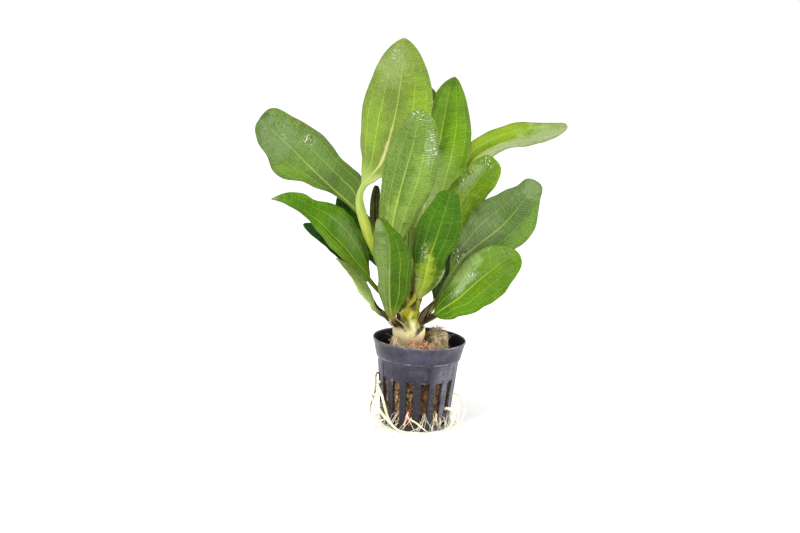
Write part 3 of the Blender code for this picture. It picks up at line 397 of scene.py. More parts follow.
         edges=((0, 0, 0), (0.1, -1, -1.5), (0.3, -0.5, -1.4), (0.4, -1.4, -2.5), (0.5, -1.8, -2.5),
                (0.6, -1, -2), (0.7, -1.8, -0.4), (0.8, -3.3, 0), (0.9, -5, 0), (1, -1.5, 0)),
         bloom=(0.02, 0.7), specks=0.1, ridged=0.75, veined=0.75, green=(0.0593, 0.139, 0.0002),
         shade=(0.0395, 0.1, 0.0001),
         stalk=((0.08, (0.056, 0.0273, 0.0102)), (0.13, (0.192, 0.148, 0.034)),
                (0.24, (0.304, 0.312, 0.0255))),
         patches=((0.94, 0.5, 0.08, 0.5, (0.34, 0.41, 0.24), 0.45),
                  (0.5, 0.55, 0.42, 0.5, (0.25, 0.36, 0.1), 0.55),
                  (0.45, -0.88, 0.45, 0.16, (0.04, 0.1, 0.003), 0.7))),
    dict(name="leaf_left_upper", slot="leaf_grey", joins=12, blade=0.41, width=32, rise=0.72, tip=0.4,
         petiole=1.7, skew=(0.34, 0.0), fold=0.08, droop=0.08, wave=1.1, ripple=0.05,
         spine=((-12, -2, 68), (-15, -4, 76), (-19.5, -6, 90), (-25, -6, 104), (-32.5, -4, 117),
                (-38, -3, 123.5), (-43.8, -3, 128.6), (-52.3, -4, 135.6), (-60.6, -6, 142.8),
                (-68.8, -8, 150.4), (-77.6, -10, 158.8), (-86.4, -12, 166.8), (-93.4, -13, 173.2),
                (-98.6, -13, 176.5)),
         face=((0, (-0.1, -0.9, 0.3)), (1, (-0.15, -0.9, 0.3))),
         edges=((0, 0, 0), (0.1, -4, 0), (0.2, -6, 3.5), (0.3, -6, 0.8), (0.4, -4, -0.7), (0.5, -3.7, 0),
                (0.6, 1.5, -0.5), (0.7, 3, -1.5), (0.8, -1, -0.5), (0.9, -1.5, 0), (1, 0, 1.5)),
         bloom=(0.35, 0.3), specks=1.0, ridged=0.6, veined=0.75, green=(0.0853, 0.164, 0.0158),
         shade=(0.0605, 0.12, 0.0158),
         stalk=((0.1, (0.048, 0.0702, 0.0085)), (0.3, (0.176, 0.25, 0.034))),
         patches=((0.84, -0.1, 0.2, 1.0, (0.17, 0.24, 0.11), 0.6),
                  (0.5, -0.7, 0.2, 0.4, (0.14, 0.28, 0.014), 0.6),
                  (0.56, 0.3, 0.2, 0.5, (0.18, 0.29, 0.085), 0.4),
                  (0.8, 0.85, 0.04, 0.14, (0.2, 0.22, 0.03), 0.4),
                  (0.82, 0.74, 0.012, 0.05, (0.17, 0.1, 0.03), 0.5),
                  (0.99, 0.45, 0.03, 0.4, (0.05, 0.07, 0.035), 0.8)),
         wet=((0.67, 0.6, 0.05, 0.22), (0.8, 0.1, 0.03, 0.12))),
    dict(name="leaf_left_middle", slot="leaf_deep", joins=14, blade=0.31, width=28, rise=0.5, tip=0.85,
         skew=(0.34, 0.3), fold=0.26, droop=0.08, wave=0.6,
         spine=((-11, -4, 64), (-15, -6, 70), (-19.5, -9, 76), (-26.4, -13, 82.5), (-33, -17, 90.6),
                (-38, -19, 96.6), (-47, -23, 108.4), (-53.5, -25, 114.8), (-59.3, -26, 120.3),
                (-66.4, -26, 125.5), (-73.3, -26, 129.4), (-81.4, -25, 132.4), (-89, -23, 133)),
         face=((0, (0.2, -0.55, 0.8)), (1, (0.2, -0.55, 0.8))),
         edges=((0, 0, 0), (0.05, -3, -0.5), (0.1, -5.5, 0.5), (0.2, -3, -1), (0.3, -0.5, -2), (0.4, 0, 0),
                (0.5, -2, 0), (0.6, -2, -0.5), (0.7, -3, -2.5), (0.8, -3, 0), (1, 0, 0)),
         bloom=(0.03, 0.03), specks=0.1, ridged=0.5, veined=0.65, green=(0.0689, 0.18, 0.0003),
         shade=(0.0414, 0.12, 0.0002),
         stalk=((0.1, (0.032, 0.0468, 0.0051)), (0.3, (0.112, 0.187, 0.017))),
         patches=((0.985, 0.0, 0.05, 1.2, (0.27, 0.26, 0.18), 0.9),
                  # The next patch is a painted sheen.
                  (0.35, 0.5, 0.22, 0.35, (0.19, 0.27, 0.09), 0.5),
                  (0.35, -0.6, 0.25, 0.4, (0.13, 0.22, 0.015), 0.6))),
    dict(name="leaf_left_behind", slot="leaf_dark", joins=12, blade=0.38, width=20, rise=0.8, tip=0.8,
         petiole=1.5, fold=0.16, droop=0.1, wave=0.5,
         spine=((-11, 1, 67), (-14, 3, 75), (-18.5, 5, 84), (-24, 6, 94), (-32, 7, 104), (-40.5, 8, 114),
                (-47.5, 9, 123.4), (-53, 9, 131.9)),
         face=((0, (0.2, -0.8, 0.5)), (1, (0.1, -0.85, 0.5))), bloom=(0.0, 0.0), ridged=0.4, veined=0.5,
         green=(0.0146, 0.0886, 0.0007), shade=(0.0066, 0.0483, 0.0003),
         stalk=((0.2, (0.024, 0.039, 0.0051)), (0.4, (0.04, 0.078, 0.0085)))),
    dict(name="leaf_left_low", slot="leaf_dark", joins=8, blade=0.4, width=17, rise=0.8, tip=0.6,
         petiole=1.4, fold=0.16, droop=0.12, wave=0.4,
         spine=((-14, -1, 60), (-18.7, -1.5, 63.9), (-22.3, -2, 66.2), (-25.6, -2.5, 68.6),
                (-28.5, -3, 72.7), (-31.4, -3.5, 78.3), (-35.7, -4.5, 86.6), (-41.9, -5, 96.1),
                (-54, -7, 106.7), (-63.6, -8, 113.4), (-71.2, -8, 117)),
         face=((0, (0.3, -0.4, 0.85)), (1, (0.3, -0.4, 0.85))), bloom=(0.0, 0.0), ridged=0.3, veined=0.4,
         green=(0.0054, 0.0909, 0.0001), shade=(0.0022, 0.0482, 0.0001),
         stalk=((0.15, (0.024, 0.0172, 0.0085)), (0.35, (0.036, 0.039, 0.0127)))),
    dict(name="leaf_left_pale", slot="leaf_grey", joins=10, blade=0.34, width=17, rise=0.7, tip=1.1,
         petiole=1.5, fold=0.3, droop=0.05, wave=0.4,
         spine=((-13.5, -4.5, 57), (-17.9, -6.5, 62.3), (-20.7, -8.5, 65.6), (-24.3, -10.5, 67.9),
                (-27.3, -12.5, 70.8), (-30, -14, 74.8), (-34.8, -16, 81), (-40.8, -17, 89.6),
                (-46.3, -17, 96), (-51, -16, 100)),
         face=((0, (0.8, -0.15, 0.57)), (1, (0.75, -0.3, 0.57))), bloom=(0.5, 0.5), specks=0.2, ridged=0.4,
         veined=0.5, green=(0.556, 0.687, 0.202), shade=(0.426, 0.573, 0.151),
         stalk=((0.12, (0.04, 0.027, 0.012)), (0.26, (0.07, 0.075, 0.026)), (0.33, (0.26, 0.32, 0.12)))),
    dict(name="leaf_young_brown", slot="leaf_brown", joins=13, blade=0.5, width=6.6, rise=0.5, tip=0.3,
         petiole=1.4, fold=0.5, droop=0.0, wave=0.1, ripple=0.0,
         spine=((-9, 1, 70), (-12.3, 1, 80), (-17.5, 1, 90), (-25, 1, 104), (-31, 1, 121),
                (-31.5, 1.5, 132), (-30.8, 2.5, 140.5)),
         face=((0, (0.5, -0.85, 0)), (1, (0.5, -0.85, 0))), bloom=(0.0, 0.1), specks=0.3, ridged=0.3,
         veined=0.3, green=(0.0401, 0.0516, 0.0006), shade=(0.0189, 0.017, 0.0003),
         stalk=((0.2, (0.048, 0.0468, 0.0102)), (0.5, (0.04, 0.039, 0.0085)))),
    dict(name="leaf_back_top", slot="leaf_dark", joins=14, blade=0.38, width=25, rise=0.7, tip=0.5,
         fold=0.14, droop=0.1, wave=0.5,
         spine=((-7, 3, 70), (-7.5, 6, 82), (-8, 14, 108), (-8, 22, 142), (-6.5, 28, 171), (-4.8, 31, 188),
                (-4.4, 32, 197)),
         face=((0, (0, -0.95, 0.3)), (1, (0, -0.95, 0.2))), bloom=(0.05, 0.05), specks=0.2, ridged=0.6,
         veined=0.6, green=(0.0567, 0.126, 0.0072), shade=(0.0315, 0.0756, 0.0048),
         stalk=((0.2, (0.128, 0.172, 0.0255)), (0.4, (0.2, 0.25, 0.0425)))),
    dict(name="leaf_right_behind", slot="leaf_dark", joins=12, blade=0.22, width=24, rise=0.7, tip=0.7,
         fold=0.14, droop=0.1, wave=0.5,
         spine=((-1, 1, 60), (4.5, 4, 67), (9.3, 5, 75), (14, 8, 86), (18.3, 11, 96.4), (22, 14, 104.5),
                (30, 17, 113), (37, 19, 120)),
         face=((0, (-0.3, -0.85, 0.4)), (1, (-0.3, -0.8, 0.5))), bloom=(0.0, 0.0), ridged=0.5, veined=0.5,
         green=(0.0252, 0.0756, 0.0029), shade=(0.0113, 0.0378, 0.0014),
         stalk=((0.2, (0.032, 0.039, 0.0085)), (0.4, (0.064, 0.0936, 0.017)))),
    dict(name="leaf_back_left", slot="leaf_green", joins=10, blade=0.3, width=26, rise=0.65, tip=0.5,
         fold=0.16, droop=0.14, wave=0.9, ripple=0.03,
         spine=((-11, 3, 61), (-12.5, 7, 68), (-15.5, 13, 78), (-22, 20, 89), (-32, 28, 96), (-43, 38, 100),
                (-54, 46, 102), (-63, 52, 102)),
         face=((0, (0.45, -0.4, 0.8)), (1, (0.1, -0.1, 1))), bloom=(0.15, 0.35), specks=0.4, ridged=0.7,
         veined=1.0, green=(0.0882, 0.183, 0.0056), shade=(0.0567, 0.126, 0.0034),
         stalk=((0.15, (0.08, 0.0936, 0.017)), (0.3, (0.192, 0.257, 0.0425))),
         patches=((0.8, 0.2, 0.14, 0.7, (0.208, 0.265, 0.128), 0.5),
                  (0.97, 0.0, 0.05, 0.8, (0.128, 0.109, 0.0425), 0.7)),
         wet=((0.6, -0.4, 0.1, 0.4),)),
    dict(name="leaf_back_right", slot="leaf_green", joins=10, blade=0.3, width=26, rise=0.65, tip=0.5,
         fold=0.14, droop=0.14, wave=0.9, ripple=0.03,
         spine=((-3, 2, 61), (1, 5, 63.5), (5, 10, 67), (10, 17, 72.5), (16, 26, 80), (23, 36, 89.5),
                (30, 46, 98), (36, 54, 103), (41, 59, 105)),
         face=((0, (-0.3, -0.45, 0.85)), (1, (-0.1, -0.2, 1))), bloom=(0.35, 0.1), specks=0.2, ridged=0.7,
         veined=1.0, green=(0.0945, 0.195, 0.0056), shade=(0.0599, 0.139, 0.0034),
         stalk=((0.15, (0.08, 0.109, 0.017)), (0.3, (0.176, 0.25, 0.0425))),
         patches=((0.5, -0.4, 0.16, 0.5, (0.24, 0.312, 0.145), 0.5),), wet=((0.75, 0.3, 0.1, 0.4),)),
    dict(name="leaf_back_centre", slot="leaf_deep", joins=11, blade=0.32, width=29, rise=0.65, tip=0.5,
         petiole=1.7, fold=0.12, droop=0.14, wave=0.8, ripple=0.03,
         spine=((-7, 5, 61), (-8, 10, 70), (-10, 22, 90), (-11, 36, 112), (-11, 46, 130), (-10, 53, 143),
                (-9, 57, 150)),
         face=((0, (0, -0.75, 0.65)), (1, (0, -0.6, 0.8))), bloom=(0.15, 0.2), specks=0.3, ridged=0.8,
         veined=1.0, green=(0.0694, 0.159, 0.0034), shade=(0.0405, 0.11, 0.0021),
         stalk=((0.15, (0.096, 0.117, 0.017)), (0.3, (0.192, 0.257, 0.0425))),
         patches=((0.75, 0.3, 0.14, 0.5, (0.224, 0.289, 0.136), 0.5),), wet=((0.4, -0.3, 0.1, 0.4),)),
)

# How brown and dry each leaf's sheath is; the others are fresh.
SHEATH_AGE = {
    "leaf_left_low": 1.0,
    "leaf_left_pale": 0.9,
    "leaf_front_left": 0.8,
    "leaf_right_low": 1.05,
    "leaf_right_large": 0.75,
    "leaf_right_behind": 0.7,
    "leaf_left_middle": 0.5,
    "leaf_back_left": 0.5,
    "leaf_back_right": 0.5,
}

# Coloured places on the crown: centre, reach along x, y and z, how far it leans in x for each mm it rises,
# tone and strength. All lengths are in mm.
CROWN_SPOTS = (
    ((-12.4, -9.5, 56.7), (4.0, 6.0, 3.6), 0.0, (0.48, 0.36, 0.21), 0.75),
    ((-8.8, -10.5, 63.4), (3.0, 6.0, 5.0), -0.5, (0.12, 0.11, 0.006), 0.9),
    # Painted shadow in the hollow under the pale ridge
    ((-12.8, -10.0, 62.8), (2.2, 6.0, 5.4), -0.8, (0.014, 0.008, 0.004), 1.0),
    ((-1.2, -9.0, 64.0), (2.2, 6.0, 4.4), 0.2, (0.19, 0.18, 0.010), 0.9),
    ((-4.8, -9.0, 68.0), (3.0, 6.0, 3.0), 0.0, (0.46, 0.50, 0.012), 0.9),
    ((0.9, -8.5, 60.2), (2.1, 6.0, 6.2), 0.67, (0.018, 0.009, 0.004), 1.0),
    ((0.6, -8.5, 53.6), (3.6, 6.0, 2.8), 0.0, (0.58, 0.38, 0.26), 0.8),
    ((-4.0, -10.0, 72.6), (3.2, 6.0, 3.4), 0.3, (0.075, 0.066, 0.005), 0.9),
    ((-4.0, -10.5, 74.8), (1.9, 6.0, 4.2), 0.9, (0.030, 0.022, 0.004), 1.0),
    ((-1.4, -9.0, 74.4), (1.6, 6.0, 3.4), 0.0, (0.14, 0.13, 0.008), 0.8),
)

# Dead sheaths that stand off the crown: the half width at its foot, the way it faces, how blunt its end
# is, how far that end is torn in mm, how dry it is, and its spine. The first is a pale living ridge.
OLD_SHEATHS = (
    dict(foot=6.2, outward=(-0.25, -0.95, 0.2), blunt=0.78, torn=0.8, age=-1.0,
         spine=((-9.8, -5.5, 60.5), (-9.9, -8.4, 64), (-9.3, -9.6, 67), (-7.7, -10.2, 70),
                (-6.0, -10.8, 73.5), (-4.9, -11.4, 77), (-4.5, -12.0, 80.5), (-4.3, -12.4, 84))),
    dict(foot=2.4, outward=(0.2, -0.75, 0.5), blunt=4.0, torn=2.0, age=1.6,
         spine=((-0.8, -6, 58), (0.2, -8, 63.4), (1.7, -9, 67.9), (3.7, -9.5, 71.7), (5.3, -10, 74.3),
                (6.9, -10, 77))),
    dict(foot=2.6, outward=(-0.3, -0.6, 0.7), blunt=1.6, torn=0.8, age=1.6,
         spine=((-11.4, -7.6, 57.5), (-13.4, -10.2, 62.4), (-15.4, -12.0, 65.6), (-17.6, -12.6, 67.8))),
    dict(foot=3.0, outward=(-0.1, -0.9, 0.35), blunt=2.2, torn=0.6, age=1.15,
         spine=((-11.2, -8.2, 59.5), (-12.0, -10.6, 63.5), (-12.8, -12.2, 66.6), (-13.6, -13.4, 69.6))),
    dict(foot=3.2, outward=(0.1, 0.7, 0.7), blunt=1.6, torn=1.0, age=1.6,
         spine=((-6, 3, 55), (-5.2, 6.4, 59), (-4.5, 8.6, 61.5), (-3.5, 11, 63))),
)

# Roots that leave the slots. Each point is the angle from the front in degrees (positive to the right),
# the distance from the pot's axis and the height.
ROOTS = (
    dict(name="root_left_long", slot="root_straw", diameter=1.5,
         path=((-77.5, 21.6, 25), (-75, 23.6, 24), (-66, 24.2, 23), (-56, 24, 19), (-49, 23.3, 12),
               (-42, 23, 7), (-33, 23.2, 3.4), (-24, 23.4, 1.6))),
    dict(name="root_left_cross", slot="root_straw", diameter=1.6,
         path=((-77.5, 20.6, 17), (-79, 23.6, 17), (-78, 26.6, 16.6), (-68, 27, 15), (-54, 26, 11),
               (-38, 25.6, 6.5), (-24, 26, 2.8), (-11, 27, 1.1))),
    dict(name="root_left_edge", slot="root_tan", diameter=1.3,
         path=((-100, 21.8, 27.5), (-97, 23.8, 28.3), (-90, 24.4, 27), (-87, 24.2, 22.5), (-87, 24.4, 17.5),
               (-91, 25.6, 12), (-98, 26.8, 6), (-106, 27.6, 1.2))),
    dict(name="root_floor_loop", slot="root_straw", diameter=0.9,
         path=((-55, 19.6, 5), (-56, 22.5, 4.2), (-60, 25.5, 2), (-52, 29, 0.9), (-38, 30.5, 0.9),
               (-23, 31, 0.9), (-10, 31, 0.9))),
    dict(name="root_right_loop", slot="root_straw", diameter=0.8,
         path=((80, 21, 20), (80, 24, 20), (78, 27.5, 18), (76, 30, 13), (72, 29.5, 7), (64, 27.5, 2.5),
               (54, 29, 0.8))),
    dict(name="root_right_short", slot="root_straw", diameter=1.6,
         path=((57.5, 20.2, 13), (57.5, 22.8, 13.4), (60, 25, 12.6), (63, 25.4, 10), (60, 24.4, 7.6))),
    dict(name="root_front_small", slot="root_straw", diameter=0.9,
         path=((-8.5, 19.6, 8), (-6, 21.9, 8), (2, 22.6, 6.5), (12, 22.6, 3.4), (20, 23.2, 1.2))),
    dict(name="root_front_pink", slot="root_pink", diameter=1.2,
         path=((-11.5, 19.7, 11.5), (-12, 21.8, 10.5), (-13.5, 22.5, 7), (-16, 22.5, 3.5))),
    dict(name="root_front_curl", slot="root_tan", diameter=1.4,
         path=((35, 19.8, 12), (34, 22, 11), (32, 23.2, 8), (36, 23.4, 5), (41, 22.8, 6.5), (40, 22.2, 9))),
    dict(name="root_back_long", slot="root_straw", diameter=1.3,
         path=((147.5, 19.9, 14), (148, 22.8, 13.5), (155, 24, 9), (165, 24.6, 4), (178, 26.5, 1),
               (196, 29, 0.9), (214, 30, 0.9))),
    dict(name="root_back_cross", slot="root_straw", diameter=1.5,
         path=((192.5, 20.4, 22), (191, 23.8, 21), (182, 24.8, 17), (172, 26.4, 11), (160, 27.4, 5),
               (148, 28.5, 1.2), (136, 30, 1))),
    dict(name="root_back_right", slot="root_straw", diameter=1.1,
         path=((102.5, 20.2, 10), (103, 22.8, 9), (108, 24, 5), (116, 26.5, 1.2), (126, 28, 0.9))),
)

# The light and the dark tone of each kind of root
ROOT_COLOURS = {
    "root_straw": ((0.90, 0.83, 0.57), (0.68, 0.56, 0.30)),
    "root_tan": ((0.52, 0.40, 0.19), (0.22, 0.15, 0.06)),
    "root_pink": ((0.78, 0.42, 0.34), (0.42, 0.12, 0.09)),
    "root_copper": ((0.80, 0.44, 0.24), (0.16, 0.06, 0.025)),
    "root_white": ((0.93, 0.89, 0.74), (0.82, 0.72, 0.48)),
}


def smoothstep(low, high, value):
    share = np.clip((value - low) / (high - low), 0.0, 1.0)
    return share * share * (3 - 2 * share)


def unit(vectors):
    return vectors / np.linalg.norm(vectors, axis=-1, keepdims=True)


def rows_at(where, marks, rows):
    """Rows interpolated between their marks."""
    return np.stack([np.interp(where, marks, rows[:, k]) for k in range(rows.shape[1])], axis=1)


def smooth_between(at, marks, rows):
    """Rows between their marks, on a curve without corners."""
    slope = np.gradient(rows, marks, axis=0)
    span = np.clip(np.searchsorted(marks, at, side="right") - 1, 0, len(marks) - 2)
    step = (marks[span + 1] - marks[span])[:, None]
    t = (at - marks[span])[:, None] / step
    return ((1 + 2 * t) * (1 - t) ** 2 * rows[span] + t * (1 - t) ** 2 * step * slope[span]
            + t ** 2 * (3 - 2 * t) * rows[span + 1] + t ** 2 * (t - 1) * step * slope[span + 1])


def smooth_curve(points):
    """A smooth curve through the given points: samples of it, and the length to each sample."""
    knots = np.array(points, float)
    chord = np.concatenate(([0.0], np.cumsum(np.linalg.norm(np.diff(knots, axis=0), axis=1))))
    curve = smooth_between(np.linspace(0.0, chord[-1], SPINE_SAMPLES), chord, knots)
    length = np.concatenate(([0.0], np.cumsum(np.linalg.norm(np.diff(curve, axis=0), axis=1))))
    return curve, length


def on_circle(radii, turns, heights, centre=(0.0, 0.0)):
    """Points at these radii and turns round an upright axis."""
    radii, turns, heights = np.broadcast_arrays(radii, turns, heights)
    return np.stack((centre[0] + radii * np.cos(turns), centre[1] + radii * np.sin(turns), heights), axis=-1)


def wobble_at(points, scale, seed):
    """Smooth noise from -1 to 1 for each point, at this many bumps a mm."""
    shift = Vector((seed, 2.3 * seed, -1.7 * seed))
    return np.array([noise.noise(Vector(point) * scale + shift) for point in points])


def point_values(shape, *channels):
    """Three values for each point of a grid, one row a point."""
    return np.stack([np.broadcast_to(channel, shape) for channel in channels], axis=-1).reshape(-1, 3)


def two_sided(upper, lower):
    """The rows of a thin form: over its upper side and back under its lower."""
    return np.concatenate((upper, lower[:, ::-1]), axis=1)


def grid_faces(rows, columns, around=False):
    """Quads over a grid of points; around joins the last column to the first."""
    across = columns if around else columns - 1
    i, j = np.meshgrid(np.arange(rows - 1), np.arange(across), indexing="ij")
    k = (j + 1) % columns
    quads = [i * columns + j, i * columns + k, (i + 1) * columns + k, (i + 1) * columns + j]
    return np.stack(quads, axis=-1).reshape(-1, 4)


def add_object(name, data):
    made = bpy.data.objects.new(name, data)
    bpy.context.scene.collection.objects.link(made)
    return made


def object_from(name, frame, smooth=True):
    """The working mesh as an object."""
    mesh = bpy.data.meshes.new(name)
    frame.to_mesh(mesh)
    frame.free()
    if smooth:
        mesh.shade_smooth()
    return add_object(name, mesh)


class Form:
    """Points, faces and per-point values gathered for one mesh, in mm."""

    def __init__(self, *channels):
        self.points = []
        self.faces = []
        self.values = {channel: [] for channel in channels}
        self.count = 0

    def add(self, points, faces, **values):
        """Adds points with faces that count from the first of them, and a value or values for each point."""
        points = np.asarray(points, float).reshape(-1, 3)
        self.points.append(points)
        self.faces.append(np.asarray(faces, int) + self.count)
        for channel, listed in self.values.items():
            listed.append(np.broadcast_to(np.asarray(values[channel], float), (len(points), 3)))
        self.count += len(points)

    def build(self, name, shader):
        mesh = bpy.data.meshes.new(name)
        points = np.concatenate(self.points) * MM
        faces = [face for group in self.faces for face in group.tolist()]
        mesh.from_pydata(points.tolist(), [], faces)
        for channel, listed in self.values.items():
            layer = mesh.attributes.new(channel, "FLOAT_VECTOR", "POINT")
            layer.data.foreach_set("vector", np.concatenate(listed).astype(np.float32).ravel())
        mesh.shade_smooth()
        mesh.materials.append(shader)
        piece = add_object(name, mesh)
        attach(piece, "root")
        return piece


class Leaf:
    """The measures of one leaf at distances along its spine, in mm, with what most leaves share."""

    edges = ((0, 0, 0), (1, 0, 0))
    skew = (0, 0)
    petiole = 1.6
    ripple = 0.02
    specks = 0.0
    patches = ()
    wet = ()

    def __init__(self, measures):
        self.__dict__.update(measures)
        self.curve, self.lengths = smooth_curve(self.spine)
        self.tangents = unit(np.gradient(self.curve, self.lengths, axis=0))
        self.length = self.lengths[-1]
        self.blade_start = self.blade * self.length
        peak = self.rise / (self.rise + self.tip)
        self.outline_peak = peak ** self.rise * (1 - peak) ** self.tip

    def share(self, distances):
        """How far along the blade these are, from 0 to 1."""
        return np.clip((distances - self.blade_start) / (self.length - self.blade_start), 0.0, 1.0)

    def frames(self, distances):
        """Places, side directions and face directions."""
        place = rows_at(distances, self.lengths, self.curve)
        tangent = unit(rows_at(distances, self.lengths, self.tangents))
        shares = np.array([share for share, _ in self.face])
        looks = np.array([look for _, look in self.face], float)
        face = rows_at(distances / self.length, shares, looks)
        face = unit(face - (face * tangent).sum(axis=1, keepdims=True) * tangent)
        return place, np.cross(tangent, face), face

    def half_width(self, distances):
        t = self.share(distances)
        blade = self.width / 2 * t ** self.rise * (1 - t) ** self.tip / self.outline_peak
        return np.hypot(blade, self.petiole * (1 - t))

    def reach(self, distances, across):
        """How far from the midrib the points stand, out to an uneven edge."""
        t = self.share(distances)[:, None]
        half = self.half_width(distances)[:, None]
        rows = np.array(self.edges, float)
        minus, plus = smooth_between(t[:, 0], rows[:, 0], rows[:, 1:]).T[:, :, None]
        skew = self.skew[0] + (self.skew[1] - self.skew[0]) * t
        uneven = self.ripple * np.sin(math.tau * OUTLINE_WAVES * t + 2.1 * across + 0.8)
        stretch = 1 + smoothstep(0, 0.25, t) * (skew * np.sign(across) + uneven)
        return across * (half * stretch + np.where(across > 0, plus, minus))

    def level(self, distances, across, reach):
        """How far the middle of the blade's thickness is lifted towards its face."""
        t = self.share(distances)[:, None]
        half = self.half_width(distances)[:, None]
        flare = smoothstep(0, 0.25, t)
        lift = np.abs(reach) * self.fold * flare - self.droop * flare * half * across ** 2
        wave = (np.sin(math.tau * RUFFLE_WAVES * t + 1.3 * across)
                + 0.35 * np.sin(math.tau * FRILL_WAVES * t + 3 * across))
        ruffle = self.wave * across ** 2 * wave * 4 * t * (1 - t)
        fade = smoothstep(0.02, 0.15, t) * (1 - smoothstep(0.93, 1.0, t))
        return lift + ruffle + fade * quilting(distances[:, None], reach, across)

    def section(self, distances, across):
        """Points of the upper and of the lower side, and the distance from the midrib, on a grid."""
        place, side, face = self.frames(distances)
        t = self.share(distances)[:, None]
        reach = self.reach(distances, across)
        level = self.level(distances, across, reach)
        thin = smoothstep(0, 0.33, t)
        round_off = np.sqrt(np.clip(1 - across ** 2, 0.0, 1.0))
        blade = BLADE_HALF_THICKNESS * (0.25 + 0.75 * round_off)
        body = PETIOLE_HALF_THICKNESS * round_off * (1 - thin) + blade * thin
        rib = np.exp(-(reach / (0.45 + 1.1 * (1 - t))) ** 2) * thin
        upper = level + body - MIDRIB_GROOVE * rib
        lower = level - body - (0.25 + 0.75 * (1 - t)) * rib
        base = place[:, None, :] + side[:, None, :] * reach[..., None]
        return (base + face[:, None, :] * upper[..., None],
                base + face[:, None, :] * lower[..., None], reach)


def quilting(along, reach, across):
    """Height of the soft pillows between the veins, in mm."""
    cross = along - CROSS_VEIN_SLOPE * np.abs(reach)
    pillow = np.abs(np.sin(math.pi * cross / CROSS_VEIN_PITCH)) ** 0.8
    nearest = np.abs(np.abs(across)[..., None] - np.array(LATERAL_VEINS)).min(axis=-1)
    away = smoothstep(0.0, 0.12, nearest)
    return PILLOW_HEIGHT * away * (pillow - 0.5) + VEIN_HOLLOW * away


def build_leaf(leaf):
    """The leaf's upper and lower side, with where each point is on it for the shader."""
    petiole = np.linspace(START_IN_CROWN * leaf.joins, leaf.blade_start, PETIOLE_ROWS, endpoint=False)
    steps = 1 - (1 - np.linspace(0.0, LAST_ROW, BLADE_ROWS)) ** TIP_CROWDING
    distances = np.concatenate((petiole, leaf.blade_start + (leaf.length - leaf.blade_start) * steps))
    spread = np.linspace(-1.0, 1.0, COLUMNS)
    across = (np.sign(spread) * np.abs(spread) ** EDGE_CROWDING)[None, :]
    upper, lower, reach = leaf.section(distances, across)
    rows, around = len(distances), 2 * COLUMNS
    shape = (rows, around)
    under = np.repeat((0.0, 1.0), COLUMNS)
    form = Form("blade_map", "blade_share")
    form.add(two_sided(upper, lower), grid_faces(rows, around, around=True),
             blade_map=point_values(shape, two_sided(reach, reach), distances[:, None],
                                    leaf.share(distances)[:, None]),
             blade_share=point_values(shape, two_sided(across, across), leaf.half_width(distances)[:, None],
                                      under))
    ends = [list(range(around))[::-1], [(rows - 1) * around + k for k in range(around)]]
    form.faces.append(np.array(ends))
    piece = form.build(leaf.name + "_blade", leaf_shader(leaf))
    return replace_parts(piece, leaf.name)


class Value:
    """A node's output, which plain sums, products and quotients can be written with."""

    def __init__(self, shade, socket):
        self.shade = shade
        self.socket = socket

    def __add__(self, other):
        return self.shade.math("ADD", self, other)

    def __sub__(self, other):
        return self.shade.math("SUBTRACT", self, other)

    def __rsub__(self, other):
        return self.shade.math("SUBTRACT", other, self)

    def __mul__(self, other):
        return self.shade.math("MULTIPLY", self, other)

    def __truediv__(self, other):
        return self.shade.math("DIVIDE", self, other)

    def __abs__(self):
        return self.shade.math("ABSOLUTE", self)


